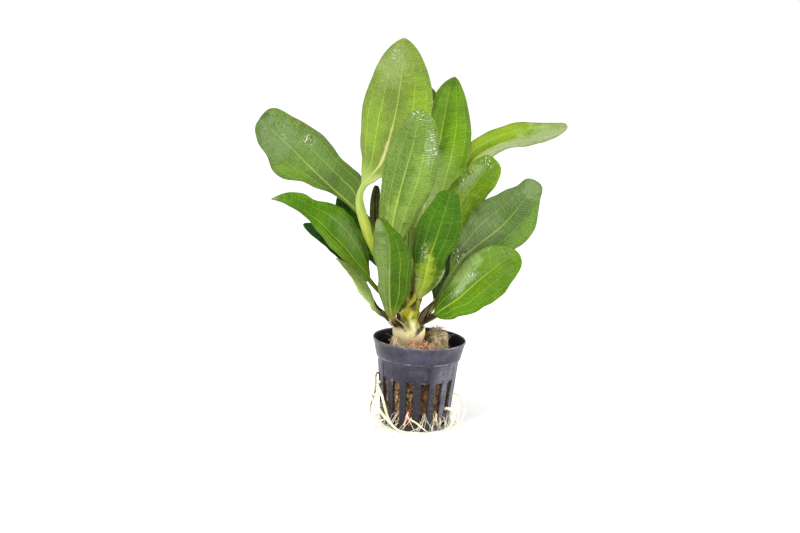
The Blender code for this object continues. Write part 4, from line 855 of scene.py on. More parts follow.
class Shade:
    """A short way to write a material: each call adds a node and returns its output."""

    MIX_FACTOR, MIX_FIRST, MIX_SECOND, MIX_RESULT = 0, 6, 7, 2

    def __init__(self, name):
        self.material = bpy.data.materials.new(name)
        self.material.use_nodes = True
        self.tree = self.material.node_tree
        self.tree.nodes.clear()

    def add(self, kind, inputs, **settings):
        """A node with these settings, whose inputs are fed with values or other nodes' outputs."""
        made = self.tree.nodes.new(kind)
        for key, value in settings.items():
            setattr(made, key, value)
        for key, value in inputs.items():
            socket = made.inputs[key]
            if isinstance(value, Value):
                self.tree.links.new(value.socket, socket)
            elif socket.type == "RGBA":
                socket.default_value = (*value, 1.0)
            else:
                socket.default_value = value
        return made

    def node(self, kind, inputs, output=0, **settings):
        return Value(self, self.add(kind, inputs, **settings).outputs[output])

    def math(self, operation, first, second=0.0):
        return self.node("ShaderNodeMath", {0: first, 1: second}, operation=operation)

    def most(self, first, second):
        return self.math("MAXIMUM", first, second)

    def ramp(self, value, low, high, at_low=0.0, at_high=1.0):
        """A smooth step from at_low to at_high as the value goes from low to high."""
        inputs = {"Value": value, "From Min": low, "From Max": high, "To Min": at_low, "To Max": at_high}
        return self.node("ShaderNodeMapRange", inputs, interpolation_type="SMOOTHSTEP")

    def colour(self, factor, first, second, mode="MIX"):
        inputs = {self.MIX_FACTOR: factor, self.MIX_FIRST: first, self.MIX_SECOND: second}
        return self.node("ShaderNodeMix", inputs, self.MIX_RESULT, data_type="RGBA", blend_type=mode)

    def graded(self, colour, gain, lift=None):
        """The colour times gain, with lift added."""
        made = self.colour(1.0, colour, gain, "MULTIPLY")
        return self.colour(1.0, made, lift, "ADD") if lift else made

    def stops(self, value, stops):
        """A colour that changes from stop to stop, each a value with its colour."""
        made = self.add("ShaderNodeValToRGB", {0: value})
        marks = made.color_ramp.elements
        while len(marks) < len(stops):
            marks.new(0.5)
        for mark, (at, colour) in zip(marks, stops):
            mark.position = at
            mark.color = (*colour, 1.0)
        return Value(self, made.outputs[0])

    def noise(self, vector, scale, detail=2.0, roughness=0.5):
        inputs = {"Vector": vector, "Scale": scale, "Detail": detail, "Roughness": roughness}
        return self.node("ShaderNodeTexNoise", inputs)

    def dots(self, vector, scale, inner, outer):
        """1 in a dot round each of many scattered points, fading out from inner to outer."""
        cells = self.node("ShaderNodeTexVoronoi", {"Vector": vector, "Scale": scale})
        return self.ramp(cells, inner, outer, 1.0, 0.0)

    def attribute(self, name):
        """The three values that the mesh holds for each point under this name."""
        return self.split(self.node("ShaderNodeAttribute", {}, "Vector", attribute_name=name))

    def split(self, vector):
        parts = self.add("ShaderNodeSeparateXYZ", {0: vector})
        return [Value(self, part) for part in parts.outputs]

    def vector(self, x, y, z):
        return self.node("ShaderNodeCombineXYZ", {0: x, 1: y, 2: z})

    def place(self):
        """The point's place in the frame, in mm."""
        point = self.node("ShaderNodeTexCoord", {}, "Object")
        return self.node("ShaderNodeVectorMath", {0: point, "Scale": 1 / MM}, operation="SCALE")

    def bump(self, height, strength=1.0):
        """A bump whose height is in mm."""
        return self.node("ShaderNodeBump", {"Strength": strength, "Distance": MM, "Height": height})

    def surface(self, inputs, translucent=None, share=0.0):
        """The finished material, with a share of light let through where translucent is a colour."""
        shader = self.node("ShaderNodeBsdfPrincipled", inputs)
        if translucent is not None:
            through = self.node("ShaderNodeBsdfTranslucent", {"Color": translucent})
            shader = self.node("ShaderNodeMixShader", {0: share, 1: shader, 2: through})
        self.add("ShaderNodeOutputMaterial", {"Surface": shader})
        return self.material


def line_mask(s, distance, width):
    """1 on a vein whose half width is width, fading out just past it; all in mm."""
    return 1.0 - s.ramp(distance / width, 0.55, 1.35)


def patch_mask(s, blade, spot):
    """A soft uneven patch: its place along and across the blade, then its reach both ways."""
    at, side, long, wide = spot
    down = (blade.t - at) / long
    over = (blade.across - side) / wide
    away = s.math("SQRT", down * down + over * over)
    return s.ramp(away + blade.edge_noise, 0.45, 1.2, 1.0, 0.0)


class Blade:
    """What a leaf's shader reads from the mesh, and the masks of its veins and ridges."""

    def __init__(self, s):
        self.reach, self.along, self.t = s.attribute("blade_map")
        self.across, self.half, self.under = s.attribute("blade_share")
        self.flat = s.vector(self.reach, self.along, self.under * 40.0)
        self.from_tip = 1.0 - self.t
        far = abs(self.reach)
        wobble = s.noise(self.flat, 0.10, 1.0) - 0.5
        share = abs(self.across) + wobble * 0.05
        self.midrib = line_mask(s, far, self.from_tip * 0.48 + 0.15)
        width = self.from_tip * 0.22 + 0.11
        strong, weak = [line_mask(s, abs(share - vein) * self.half, width) for vein in LATERAL_VEINS[1:3]]
        self.lateral = s.most(strong, weak * 0.45)
        crooked = s.noise(self.flat, 0.22, 3.0) * 3.4
        cross = self.along - far * CROSS_VEIN_SLOPE + crooked
        turn = s.math("FRACT", cross / CROSS_VEIN_PITCH)
        self.ladder = line_mask(s, (0.5 - abs(turn - 0.5)) * CROSS_VEIN_PITCH, 0.16)
        waves = s.math("SINE", cross * (math.tau / (CROSS_VEIN_PITCH / 3))) * 0.5 + 0.5
        self.fine = s.noise(s.vector(self.reach * 0.45, cross, 0.0), 0.9, 4.0, 0.7)
        self.ridges = s.ramp(waves * 0.55 + (self.fine - 0.5) * 2.6, -0.15, 0.75)
        self.grain = s.noise(self.flat, 0.9, 3.0, 0.6)
        self.edge_noise = (s.noise(self.flat, 0.16, 3.0, 0.6) - 0.5) * 1.5
        self.grown = s.ramp(self.t, 0.0, 0.12)


def blade_colour(s, leaf, blade):
    """The mottled, patched and ridged green of the blade, with its veins."""
    green = s.colour(s.ramp(s.noise(blade.flat, 0.06, 3.0), 0.35, 0.65), leaf.shade, leaf.green)
    # Painted sheen: a greyish veil over each half of the blade
    grey = [0.55 * c + add for c, add in zip(leaf.green, PAINTED_SHEEN_GREY)]
    side = s.ramp(blade.across, -0.10, 0.10, *leaf.bloom)
    area = s.ramp(s.noise(blade.flat, 0.05, 3.0), 0.34, 0.62, 0.35, 1.0)
    green = s.colour(side * area, green, grey)
    for *spot, tone, strength in leaf.patches:
        streaked = s.ramp(blade.fine, 0.36, 0.60, 0.5 * strength, strength)
        green = s.colour(patch_mask(s, blade, spot) * streaked, green, tone)
    # Painted light and shade of the fine ridges: lighter crests, darker troughs
    darker = s.graded(green, RIDGE_SHADE)
    lit_crest_tone = s.graded(green, *LIT_CREST_GRADE)
    striped = s.colour(blade.ridges, lit_crest_tone, darker)
    broken = s.noise(s.vector(blade.reach * 0.5, blade.along, 0.0), 0.22, 3.0, 0.6)
    broken = s.ramp(broken, 0.38, 0.64, 0.20, 1.0)
    green = s.colour(broken * blade.grown * (0.95 * leaf.ridged), green, striped)
    green = s.colour(s.ramp(blade.grain, 0.46, 0.70, 0.0, 0.6), green, darker)
    green = s.colour(s.ramp(blade.grain, 0.44, 0.26, 0.0, 0.5), green, lit_crest_tone)
    green = s.colour(blade.ladder * blade.grown * 0.55, green, s.graded(green, *LADDER_GRADE))
    vein = s.graded(green, *VEIN_GRADE)
    bright = s.ramp(blade.from_tip, 0.05, 0.55, 0.45, 1.0) * leaf.veined
    green = s.colour(blade.lateral * blade.grown * 0.75 * bright, green, vein)
    green = s.colour(blade.midrib * 0.95 * bright, green, vein)
    reddish = s.ramp(s.noise(s.vector(0.0, blade.along, 0.0), 0.12, 1.0), 0.52, 0.62, 0.0, 0.22)
    return s.colour(blade.midrib * reddish, green, RED_MIDRIB)


def stalk_colour(s, leaf, blade):
    """The stalk's streaky tones along its length, with painted shade on one side."""
    stalk = s.stops(blade.along / leaf.length, leaf.stalk)
    streaky = s.noise(s.vector(blade.reach * 3.0, blade.along * 0.25, 0.0), 0.8, 3.0)
    stalk = s.colour(s.ramp(streaky, 0.38, 0.68, 0.0, 0.5), stalk, s.graded(stalk, STALK_STREAK))
    shaded = s.ramp(blade.across, 0.0, 0.85) * s.ramp(blade.t, 0.0, 0.04, 0.75, 0.0)
    return s.colour(shaded, stalk, s.graded(stalk, STALK_SHADE))


def worn(s, leaf, blade, green):
    """The colour with its pale and brown rim and its dark specks."""
    inward = (1.0 - abs(blade.across)) * blade.half
    rim = s.ramp(inward, 0.10, 0.42, 1.0, 0.0) * blade.grown
    rim_tone = s.colour(s.ramp(s.noise(blade.flat, 0.11, 2.0), 0.40, 0.60), *RIM_TONES)
    green = s.colour(rim * 0.75, green, rim_tone)
    area = s.ramp(s.noise(blade.flat, 0.05, 1.0), 0.40, 0.55) * s.ramp(blade.t, 0.35, 0.65, 0.2, 1.0)
    specks = s.dots(blade.flat, 0.40, 0.12, 0.24) * area * leaf.specks
    return s.colour(specks * 0.7, green, SPECK_TONE)


def wet_places(s, leaf, blade):
    """Where the leaf is wet, and the beads of water that lie there."""
    masks = [patch_mask(s, blade, spot) for spot in leaf.wet]
    wet = masks[0]
    for mask in masks[1:]:
        wet = s.most(wet, mask)
    crest = s.ramp(blade.ridges, 0.40, 0.15) * s.ramp(s.noise(blade.flat, 0.70, 2.0), 0.51, 0.57)
    drops = s.dots(s.vector(blade.reach * 0.7, blade.along, 0.0), 0.9, 0.08, 0.26)
    drops = drops * s.ramp(s.noise(blade.flat, 0.4, 1.0), 0.48, 0.58)
    return wet, s.most(crest, drops * 0.8) * wet


def leaf_shader(leaf):
    s = Shade(leaf.name)
    blade = Blade(s)
    green = blade_colour(s, leaf, blade)
    on_stalk = s.ramp(blade.along, leaf.blade_start - 2.0, leaf.blade_start + 0.13 * leaf.length, 1.0, 0.0)
    green = s.colour(on_stalk, green, stalk_colour(s, leaf, blade))
    green = worn(s, leaf, blade, green)
    raised = s.ramp(blade.under, 0.3, 0.7, -1.0, 1.0)
    hollow = s.most(blade.midrib, blade.lateral) * 0.15 + blade.ladder * 0.05
    relief = raised * hollow + blade.ridges * blade.grown * (-0.13 * leaf.ridged)
    relief = relief + blade.grain * 0.05
    rough = s.ramp(s.noise(blade.flat, 0.2, 3.0), 0.3, 0.7, 0.34, 0.52)
    inputs = {"Specular IOR Level": 0.12}
    if leaf.wet:
        wet, beads = wet_places(s, leaf, blade)
        relief = relief + beads * 0.28
        rough = rough * s.ramp(beads, 0.1, 0.6, 1.0, 0.4)
        # Painted glints: the beads are tinted white besides their gloss and bump
        green = s.colour(beads * 0.75, green, PAINTED_GLINT)
        inputs["Coat Weight"] = s.most(beads, wet * 0.15)
        inputs["Coat Roughness"] = 0.08
    inputs.update({"Base Color": green, "Roughness": rough, "Normal": s.bump(relief, 0.9)})
    return s.surface(inputs, translucent=[GLOW * c for c in leaf.green], share=0.14)


def crown_radius(height):
    """The crown's radius, on a smooth curve through its measures."""
    height = np.asarray(height, float)
    marks = np.array(CROWN_HEIGHTS, float)
    at = np.clip(height.ravel(), marks[0], marks[-1])
    return smooth_between(at, marks, np.array(CROWN_RADII)[:, None]).reshape(height.shape)


def build_crown(leaves):
    """The crown's rounded core, in the broad sheaths that its leaf stalks rise from."""
    form = Form("crown_map")
    heights = np.linspace(*CORE_SPAN, CORE_ROWS)[:, None]
    turns = np.linspace(0, math.tau, CORE_COLUMNS, endpoint=False)
    radii = crown_radius(heights) * (0.90 + 0.015 * np.sin(5 * turns + 0.08 * heights))
    form.add(on_circle(radii, turns, heights, CROWN_AXIS), grid_faces(CORE_ROWS, CORE_COLUMNS, around=True),
             crown_map=point_values(radii.shape, 0.0, turns * 8, 0.0))
    for order, leaf in enumerate(leaves):
        add_sheath(form, leaf, order)
    for order, measures in enumerate(OLD_SHEATHS):
        add_old_sheath(form, measures, order)
    piece = form.build("crown_sheaths", crown_shader())
    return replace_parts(piece, "crown")


def add_crown_sheet(form, sides, across, age, streaks, shift):
    """A thin sheet from its two sides, with its age, its streaks' places and its edge for the shader."""
    points = two_sided(*sides)
    shape = points.shape[:2]
    both = two_sided(across, across)
    form.add(points, grid_faces(*shape, around=True),
             crown_map=point_values(shape, age, both * streaks + shift, np.abs(both)))


def add_sheath(form, leaf, order):
    """A broad sheath that hugs the crown at its foot and narrows into the leaf's stalk above."""
    offset = leaf.curve[0, :2] - CROWN_AXIS
    bearing = math.atan2(offset[1], offset[0])
    out_share = 0.91 + 0.09 * float(smoothstep(3.0, 9.0, np.linalg.norm(offset)))
    end = leaf.joins + SHEATH_OVERLAP
    foot, head = SOIL - SHEATH_DEPTH, leaf.curve[int(SPINE_SAMPLES * end / leaf.length), 2]
    climb = np.linspace(0.0, 1.0, SHEATH_ROWS)
    heights = foot + (head - foot) * climb
    distances = np.clip(np.interp(heights, leaf.curve[:NEAR_CROWN, 2], leaf.lengths[:NEAR_CROWN]), 0.4, end)
    place, side, face = leaf.frames(distances)
    radial = np.array((math.cos(bearing), math.sin(bearing), 0.0))
    around = np.array((-radial[1], radial[0], 0.0))
    hand = 1.0 if side[-1] @ around >= 0 else -1.0
    outer = 1.0 if face[-1] @ radial >= 0 else -1.0
    across = np.linspace(-1.0, 1.0, SHEATH_COLUMNS)[None, :]
    climb, heights = climb[:, None], heights[:, None]
    into = smoothstep(0.34, 0.90, climb)[..., None]
    spread = (1.25 - 0.45 * climb ** 1.5) * across
    turns = bearing + hand * spread + 0.05 * np.sin(0.25 * heights + 1.9 * order)
    radii = crown_radius(heights) * out_share
    taper = np.sqrt(1 - across ** 2 * 0.9995)
    body = (0.10 + 0.80 * taper) * (1 - 0.2 * climb)
    half = leaf.half_width(distances)[:, None] + 2.4 * (1 - climb)
    sides = []
    for level in (1.0, -1.0):
        wrapped = on_circle(radii + level * outer * 0.5 * body, turns, heights, CROWN_AXIS)
        stalk = (place[:, None, :] + side[:, None, :] * (half * across)[..., None]
                 + face[:, None, :] * (level * PETIOLE_HALF_THICKNESS * taper)[..., None])
        sides.append(wrapped * (1 - into) + stalk * into)
    add_crown_sheet(form, sides, across, SHEATH_AGE.get(leaf.name, FRESH_AGE), 6.0, 20.0 * order)


def add_old_sheath(form, measures, order):
    """A torn sheath that curls away from the crown."""
    outward = np.array(measures["outward"])
    curve, lengths = smooth_curve(measures["spine"])
    distances = np.linspace(0.0, lengths[-1], OLD_SHEATH_ROWS)
    place = rows_at(distances, lengths, curve)
    tangent = unit(rows_at(distances, lengths, np.gradient(curve, lengths, axis=0)))
    face = unit(outward - (tangent @ outward)[:, None] * tangent)
    side = np.cross(tangent, face)
    climb = (distances / lengths[-1])[:, None]
    across = np.linspace(-1.0, 1.0, OLD_SHEATH_COLUMNS)[None, :]
    ragged = 1 + 0.22 * np.sin(9 * climb + 4 * across + order) * climb
    half = measures["foot"] * (1 - climb ** measures["blunt"]) * ragged + 0.12
    curl = 0.30 * half * across ** 2 + 0.25 * np.sin(7 * across + 5 * climb + order) * climb
    body = 0.40 * (1 - 0.7 * climb) * np.sqrt(1 - across ** 2 * 0.99)
    torn = measures["torn"] * climb ** 3 * (np.sin(8 * across + 2 * order) + 0.6 * np.sin(21 * across))
    middle = (place[:, None, :] + side[:, None, :] * (half * across)[..., None]
              + tangent[:, None, :] * torn[..., None])
    sides = [middle + face[:, None, :] * (level * body - curl)[..., None] for level in (1.0, -1.0)]
    add_crown_sheet(form, sides, across, measures["age"], 5.0, 700.0 + 20.0 * order)


def near_spot(s, place, uneven, centre, reaches, lean):
    """1 at a place in the frame, fading out at its reaches along x, y and z, all in mm."""
    x, y, height = s.split(place)
    upright = x - (height - centre[2]) * lean
    shares = [(value - middle) / reach for value, middle, reach in zip((upright, y, height), centre, reaches)]
    along_x, along_y, along_z = [share * share for share in shares]
    away = s.math("SQRT", along_x + along_y + along_z)
    return s.ramp(away + uneven, 0.45, 1.20, 1.0, 0.0)


def crown_shader():
    s = Shade("crown tissue")
    age, way, edge = s.attribute("crown_map")
    place = s.place()
    _, _, height = s.split(place)
    streak_space = s.vector(way, height * 0.10, 0.0)
    streaks = s.noise(streak_space, 1.1, 3.0, 0.55)
    patch = s.noise(place, 0.14, 3.0, 0.55)
    uneven = (patch - 0.5) * 1.6 + (streaks - 0.5) * 0.9
    rise = height + ((patch - 0.5) * 12.0 + (streaks - 0.5) * 6.0)

    cream = s.colour(s.ramp(streaks, 0.36, 0.70), *CREAM)
    lime = s.colour(s.ramp(streaks, 0.35, 0.65), *LIME)
    tissue = s.colour(s.ramp(rise, 63.0, 68.0), cream, lime)
    tissue = s.colour(s.ramp(rise, 70.0, 73.5), tissue, CROWN_TOP_TONE)
    tissue = s.colour(s.ramp(rise, 58.0, 51.0), tissue, CROWN_FOOT_TONE)
    line = s.ramp(edge, 0.86, 0.97) * s.ramp(rise, 56.0, 64.0, 0.1, 0.7)
    tissue = s.colour(line, tissue, SHEATH_LINE)
    dried = s.ramp(age * 0.62 + patch * 0.75, 0.78, 0.98)
    high = s.ramp(rise, 58.0, 63.0) * s.ramp(edge, 0.80, 0.94, 1.0, 0.25)
    tissue = s.colour(dried * high, tissue, s.colour(s.ramp(streaks, 0.35, 0.62), *DRIED_TONES))

    bands = s.noise(s.vector(way * 1.6, height * 0.12, 0.0), 0.9, 3.0, 0.7)
    paper = s.colour(s.ramp(bands, 0.50, 0.62), *PAPER_TONES)
    tissue = s.colour(s.ramp(age, 1.3, 1.5), tissue, paper)
    rims = s.ramp(age, 0.55, 0.7) * s.ramp(edge, 0.82, 0.95) * s.ramp(rise, 55.0, 60.0)
    tissue = s.colour(rims * 0.75, tissue, OLD_RIM)
    fresh = s.ramp(age, -0.7, -0.4, 1.0, 0.0)
    ridge = s.colour(s.ramp(streaks, 0.38, 0.62), *FRESH_TONES)
    ridge = s.colour(s.ramp(edge, 0.55, 0.90, 0.0, 0.8), ridge, FRESH_EDGE)
    tissue = s.colour(fresh * s.ramp(rise, 61.0, 69.0), tissue, ridge)
    living = s.ramp(age, 1.3, 1.5, 1.0, 0.0)
    for centre, reaches, lean, tone, strength in CROWN_SPOTS:
        mask = near_spot(s, place, uneven, centre, reaches, lean)
        tissue = s.colour(mask * strength * living, tissue, tone)
    specks = s.dots(place, 0.9, 0.06, 0.14) * s.ramp(patch, 0.5, 0.62)
    tissue = s.colour(specks * 0.6, tissue, CROWN_SPECK)

    fibres = s.noise(streak_space, 4.0, 2.0, 0.5)
    return s.surface({
        "Base Color": tissue,
        "Roughness": s.ramp(streaks, 0.3, 0.7, 0.42, 0.60),
        "Normal": s.bump(streaks * 0.22 + fibres * 0.05, 0.8),
        "Specular IOR Level": 0.12,
        "Coat Weight": 0.08,
        "Coat Roughness": 0.15,
        "Subsurface Weight": 0.15,
        "Subsurface Radius": (1.0, 0.8, 0.3),
        "Subsurface Scale": 0.0015,
    })


def body_radius(height):
    return BASE_RADIUS + (BODY_TOP_RADIUS - BASE_RADIUS) * height / COLLAR_FOOT


def pot_outline():
    """The pot's outer side as rows of (radius, height), from the base up over the lip."""
    lip_foot = POT_HEIGHT - LIP_HEIGHT
    slope = (COLLAR_TOP_RADIUS - COLLAR_FOOT_RADIUS) / (lip_foot - COLLAR_FOOT)
    slots = np.linspace(SLOT_BOTTOM, SLOT_TOP, SLOT_ROWS)
    body = (0.8, 1.6, SLOT_BOTTOM - 0.25, *slots, SLOT_TOP + 0.25, 33.0, 36.0, FLUTE_TOP - 0.3, FLUTE_TOP,
            FLUTE_TOP + 0.3, 40.0, COLLAR_FOOT - 0.7, COLLAR_FOOT - 0.45)
    collar = (43.5, 46.0, 48.5, lip_foot - 0.15)
    return [
        (BASE_RADIUS - 0.8, 0.0), (BASE_RADIUS - 0.45, 0.06), (BASE_RADIUS - 0.15, 0.3),
        *((body_radius(z), z) for z in body),
        (COLLAR_FOOT_RADIUS - 0.35, COLLAR_FOOT - 0.25), (COLLAR_FOOT_RADIUS - 0.05, COLLAR_FOOT),
        (COLLAR_FOOT_RADIUS + 0.05, COLLAR_FOOT + 0.35),
        *((COLLAR_FOOT_RADIUS + slope * (z - COLLAR_FOOT), z) for z in collar),
        (RIM_RADIUS - 0.12, lip_foot + 0.12), (RIM_RADIUS, lip_foot + 0.4), (RIM_RADIUS, POT_HEIGHT - 0.5),
        (RIM_RADIUS - 0.14, POT_HEIGHT - 0.16), (RIM_RADIUS - 0.45, POT_HEIGHT),
    ]


def wall_columns():
    """For each column of the wall: its slot's angle, a share of the slot's half width, one of the rib's."""
    rounded = 1.0 - 2 * FLUTE_ROUND / SLOT_WIDTH
    columns = []
    for slot in range(SLOT_COUNT):
        centre = math.radians(FIRST_SLOT_ANGLE - 90.0) + math.tau / SLOT_COUNT * slot
        columns += [(centre, cut, 0.0) for cut in (-1.0, -rounded, -0.33, 0.33, rounded, 1.0)]
        columns += [(centre, 1.0, cut) for cut in RIB_CUTS]
    return np.array(columns)


def pot_wall():
    """The wall of ribs and slots, each column edge set at the slot's true width."""
    outline = pot_outline()
    centres, cuts, ribs = wall_columns().T
    count = len(centres)
    frame = bmesh.new()
    grid = []
    for radius, height in outline:
        slot_turn = math.asin(SLOT_WIDTH / 2 / body_radius(min(height, COLLAR_FOOT)))
        turns = centres + cuts * slot_turn + ribs * (math.tau / SLOT_COUNT - 2 * slot_turn)
        fluted = SLOT_TOP + 0.2 < height < FLUTE_TOP - 0.1
        inset = FLUTE_DEPTH * (fluted & (np.abs(cuts) < 0.98))
        grid.append([frame.verts.new(point) for point in on_circle(radius - inset, turns, height) * MM])
    for i, (low, high) in enumerate(zip(grid, grid[1:])):
        middle = (outline[i][1] + outline[i + 1][1]) / 2
        for j in range(count):
            if SLOT_BOTTOM < middle < SLOT_TOP and j % (count // SLOT_COUNT) < SLOT_CELLS:
                continue
            k = (j + 1) % count
            frame.faces.new((low[j], low[k], high[k], high[j]))
    wall = object_from("net_pot_wall", frame)
    shell = wall.modifiers.new("Wall", "SOLIDIFY")
    shell.thickness = WALL * MM
    shell.offset = -1.0
    shell.use_even_offset = False
    shell.material_offset = 1
    soften(wall, EDGE_ROUND)
    return wall


def soften(piece, width):
    """Rounds the edges, whose width is in mm."""
    bevel = piece.modifiers.new("Rounded edges", "BEVEL")
    bevel.width = width * MM
    bevel.segments = 2
    bevel.limit_method = "ANGLE"
    bevel.angle_limit = math.radians(EDGE_ANGLE)
    bevel.harden_normals = True


def pot_base():
    """The pot's floor, a disc with drain slots set like spokes."""
    frame = bmesh.new()
    radius = (BASE_RADIUS - FLOOR_INSET) * MM
    bmesh.ops.create_cone(frame, cap_ends=True, segments=FLOOR_SEGMENTS, radius1=radius, radius2=radius,
                          depth=FLOOR * MM, matrix=Matrix.Translation((0, 0, FLOOR / 2 * MM)))
    base = object_from("net_pot_floor", frame)
    frame = bmesh.new()
    middle = Vector(((DRAIN_INNER + DRAIN_OUTER) / 2, 0, 0)) * MM
    shape = Matrix.Diagonal((DRAIN_OUTER - DRAIN_INNER, DRAIN_WIDTH, 6.0, 1.0))
    for i in range(DRAIN_COUNT):
        turn = math.tau * (i + 0.5) / DRAIN_COUNT
        stand = Matrix.Rotation(turn, 4, "Z") @ Matrix.Translation(middle)
        bmesh.ops.create_cube(frame, size=MM, matrix=stand @ shape)
    cutter = object_from("drains", frame, smooth=False)
    cut = base.modifiers.new("Drains", "BOOLEAN")
    cut.operation = "DIFFERENCE"
    cut.object = cutter
    cut.solver = "EXACT"
    bpy.context.view_layer.update()
    evaluated = base.evaluated_get(bpy.context.evaluated_depsgraph_get())
    base.data = bpy.data.meshes.new_from_object(evaluated)
    base.modifiers.clear()
    bpy.data.objects.remove(cutter)
    base.data.set_sharp_from_angle(angle=math.radians(SHARP_ANGLE))
    return base


def build_pot():
    """The pot's slotted wall and its floor."""
    wall, base = pot_wall(), pot_base()
    outside, inside = pot_shader(), pot_inside_shader()
    for piece in (wall, base):
        piece.data.materials.append(outside)
        piece.data.materials.append(inside)
        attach(piece, "root")
    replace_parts(wall, "net_pot")


def pot_shader():
    s = Shade("pot plastic")
    place = s.place()
    x, y, height = s.split(place)
    around = s.math("ARCTAN2", y, x) * 22.0
    wrap = s.vector(around, height, 0.0)
    clouds = s.noise(place, 0.09, 4.0, 0.6)
    dust = s.noise(place, 0.55, 4.0, 0.65)

    slate = s.colour(s.ramp(clouds, 0.35, 0.68), *SLATE)
    slate = s.colour(s.ramp(height, 24.0, 40.0, 0.9, 0.0), slate, SLATE_BELOW)
    # Painted highlight: lighter on the right of the body, below the collar, broken up by the dust
    painted_highlight = s.ramp(x, 6.0, 15.0) * s.ramp(y, 4.0, -8.0)
    painted_highlight = painted_highlight * s.ramp(height, COLLAR_FOOT, COLLAR_FOOT - 1.5) * s.ramp(clouds, 0.30, 0.60, 0.4, 1.0)
    slate = s.colour(painted_highlight * s.ramp(dust, 0.35, 0.60, 0.30, 0.75), slate, PAINTED_HIGHLIGHT_TONE)
    slate = s.colour(s.ramp(dust, 0.54, 0.74, 0.0, 0.45), slate, DUST_TONE)
    dots = s.dots(wrap, 0.42, 0.07, 0.15) * s.ramp(s.noise(wrap, 0.11, 1.0), 0.48, 0.56)
    slate = s.colour(dots * 0.8, slate, DARK_DOT)
    dots = s.dots(wrap, 0.75, 0.05, 0.12) * s.ramp(s.noise(wrap, 0.16, 1.0), 0.53, 0.6)
    slate = s.colour(dots * 0.55, slate, LIME_DOT)
    scratches = s.noise(s.vector(around * 0.25, height * 2.6, 0.0), 0.9, 3.0, 0.7)
    scratches = s.ramp(scratches, 0.62, 0.75)
    slate = s.colour(scratches * 0.3, slate, SCRATCH_TONE)

    # Lighter on the sharp edges, the lip and the collar's ledge: wear, and painted highlight
    worn = s.node("ShaderNodeNewGeometry", {}, "Pointiness")
    slate = s.colour(s.ramp(worn, 0.52, 0.60, 0.0, 0.5), slate, WORN_AND_HIGHLIT_EDGE)
    ledge = s.ramp(height, COLLAR_FOOT - 0.4, COLLAR_FOOT)
    ledge = ledge * s.ramp(height, COLLAR_FOOT + 1.1, COLLAR_FOOT + 0.5)
    lip = s.ramp(height, POT_HEIGHT - 0.9, POT_HEIGHT - 0.2)
    rubbed_and_highlit = s.most(ledge, lip) * s.ramp(s.noise(wrap, 0.3, 3.0), 0.38, 0.62)
    slate = s.colour(rubbed_and_highlit * 0.5, slate, RUBBED_AND_HIGHLIT_TONE)
    rust = s.ramp(height, POT_HEIGHT - 2.6, POT_HEIGHT - 0.8) * s.ramp(s.noise(wrap, 0.13, 2.0), 0.56, 0.64)
    slate = s.colour(rust * 0.3, slate, RUST_TONE)
    slate = s.colour(s.ramp(height + dust * 9.0, 4.0, 11.0, 0.45, 0.0), slate, SPLASH_TONE)
    return s.surface({
        "Base Color": slate,
        "Roughness": s.ramp(dust, 0.3, 0.75, 0.28, 0.46),
        "Normal": s.bump(dust * 0.04 + scratches * 0.02, 0.6),
        "Specular IOR Level": 0.32,
    })


def pot_inside_shader():
    s = Shade("pot inside")
    grime = s.noise(s.place(), 0.5, 4.0, 0.6)
    return s.surface({
        "Base Color": s.colour(s.ramp(grime, 0.45, 0.7), *INSIDE_TONES),
        "Roughness": 0.7,
        "Normal": s.bump(grime * 0.1, 0.5),
        "Specular IOR Level": 0.1,
    })


def plug_radius(height):
    """The plug's radius, rounded off above the slots."""
    behind_slots = body_radius(np.minimum(height, SLOT_TOP)) - PLUG_WALL_GAP
    share = np.clip((height - SLOT_TOP) / (PLUG_TOP - SLOT_TOP), 0.0, 1.0)
    return behind_slots + (PLUG_TOP_RADIUS - behind_slots) * np.sqrt(share)


def plug_height(x, y):
    """Height of the plug's top: a torn mound behind the crown's right, and rises that hug the crown."""
    away = np.hypot(x - MOUND_CENTRE[0], y - MOUND_CENTRE[1]) / MOUND_RADIUS
    mound = MOUND_HEIGHT * np.clip(1.0 - away ** 3, 0.0, 1.0)
    from_crown = np.hypot(x - CROWN_AXIS[0], y - CROWN_AXIS[1])
    ridge = RIDGE_HEIGHT * np.exp(-((from_crown - RIDGE_RADIUS) / RIDGE_SPREAD) ** 2)
    beside = np.hypot(x - RISE_CENTRE[0], y - RISE_CENTRE[1]) / RISE_RADIUS
    rise = RISE_HEIGHT * np.clip(1.0 - beside ** 2, 0.0, 1.0)
    return PLUG_TOP + np.maximum(np.maximum(mound, ridge), rise)


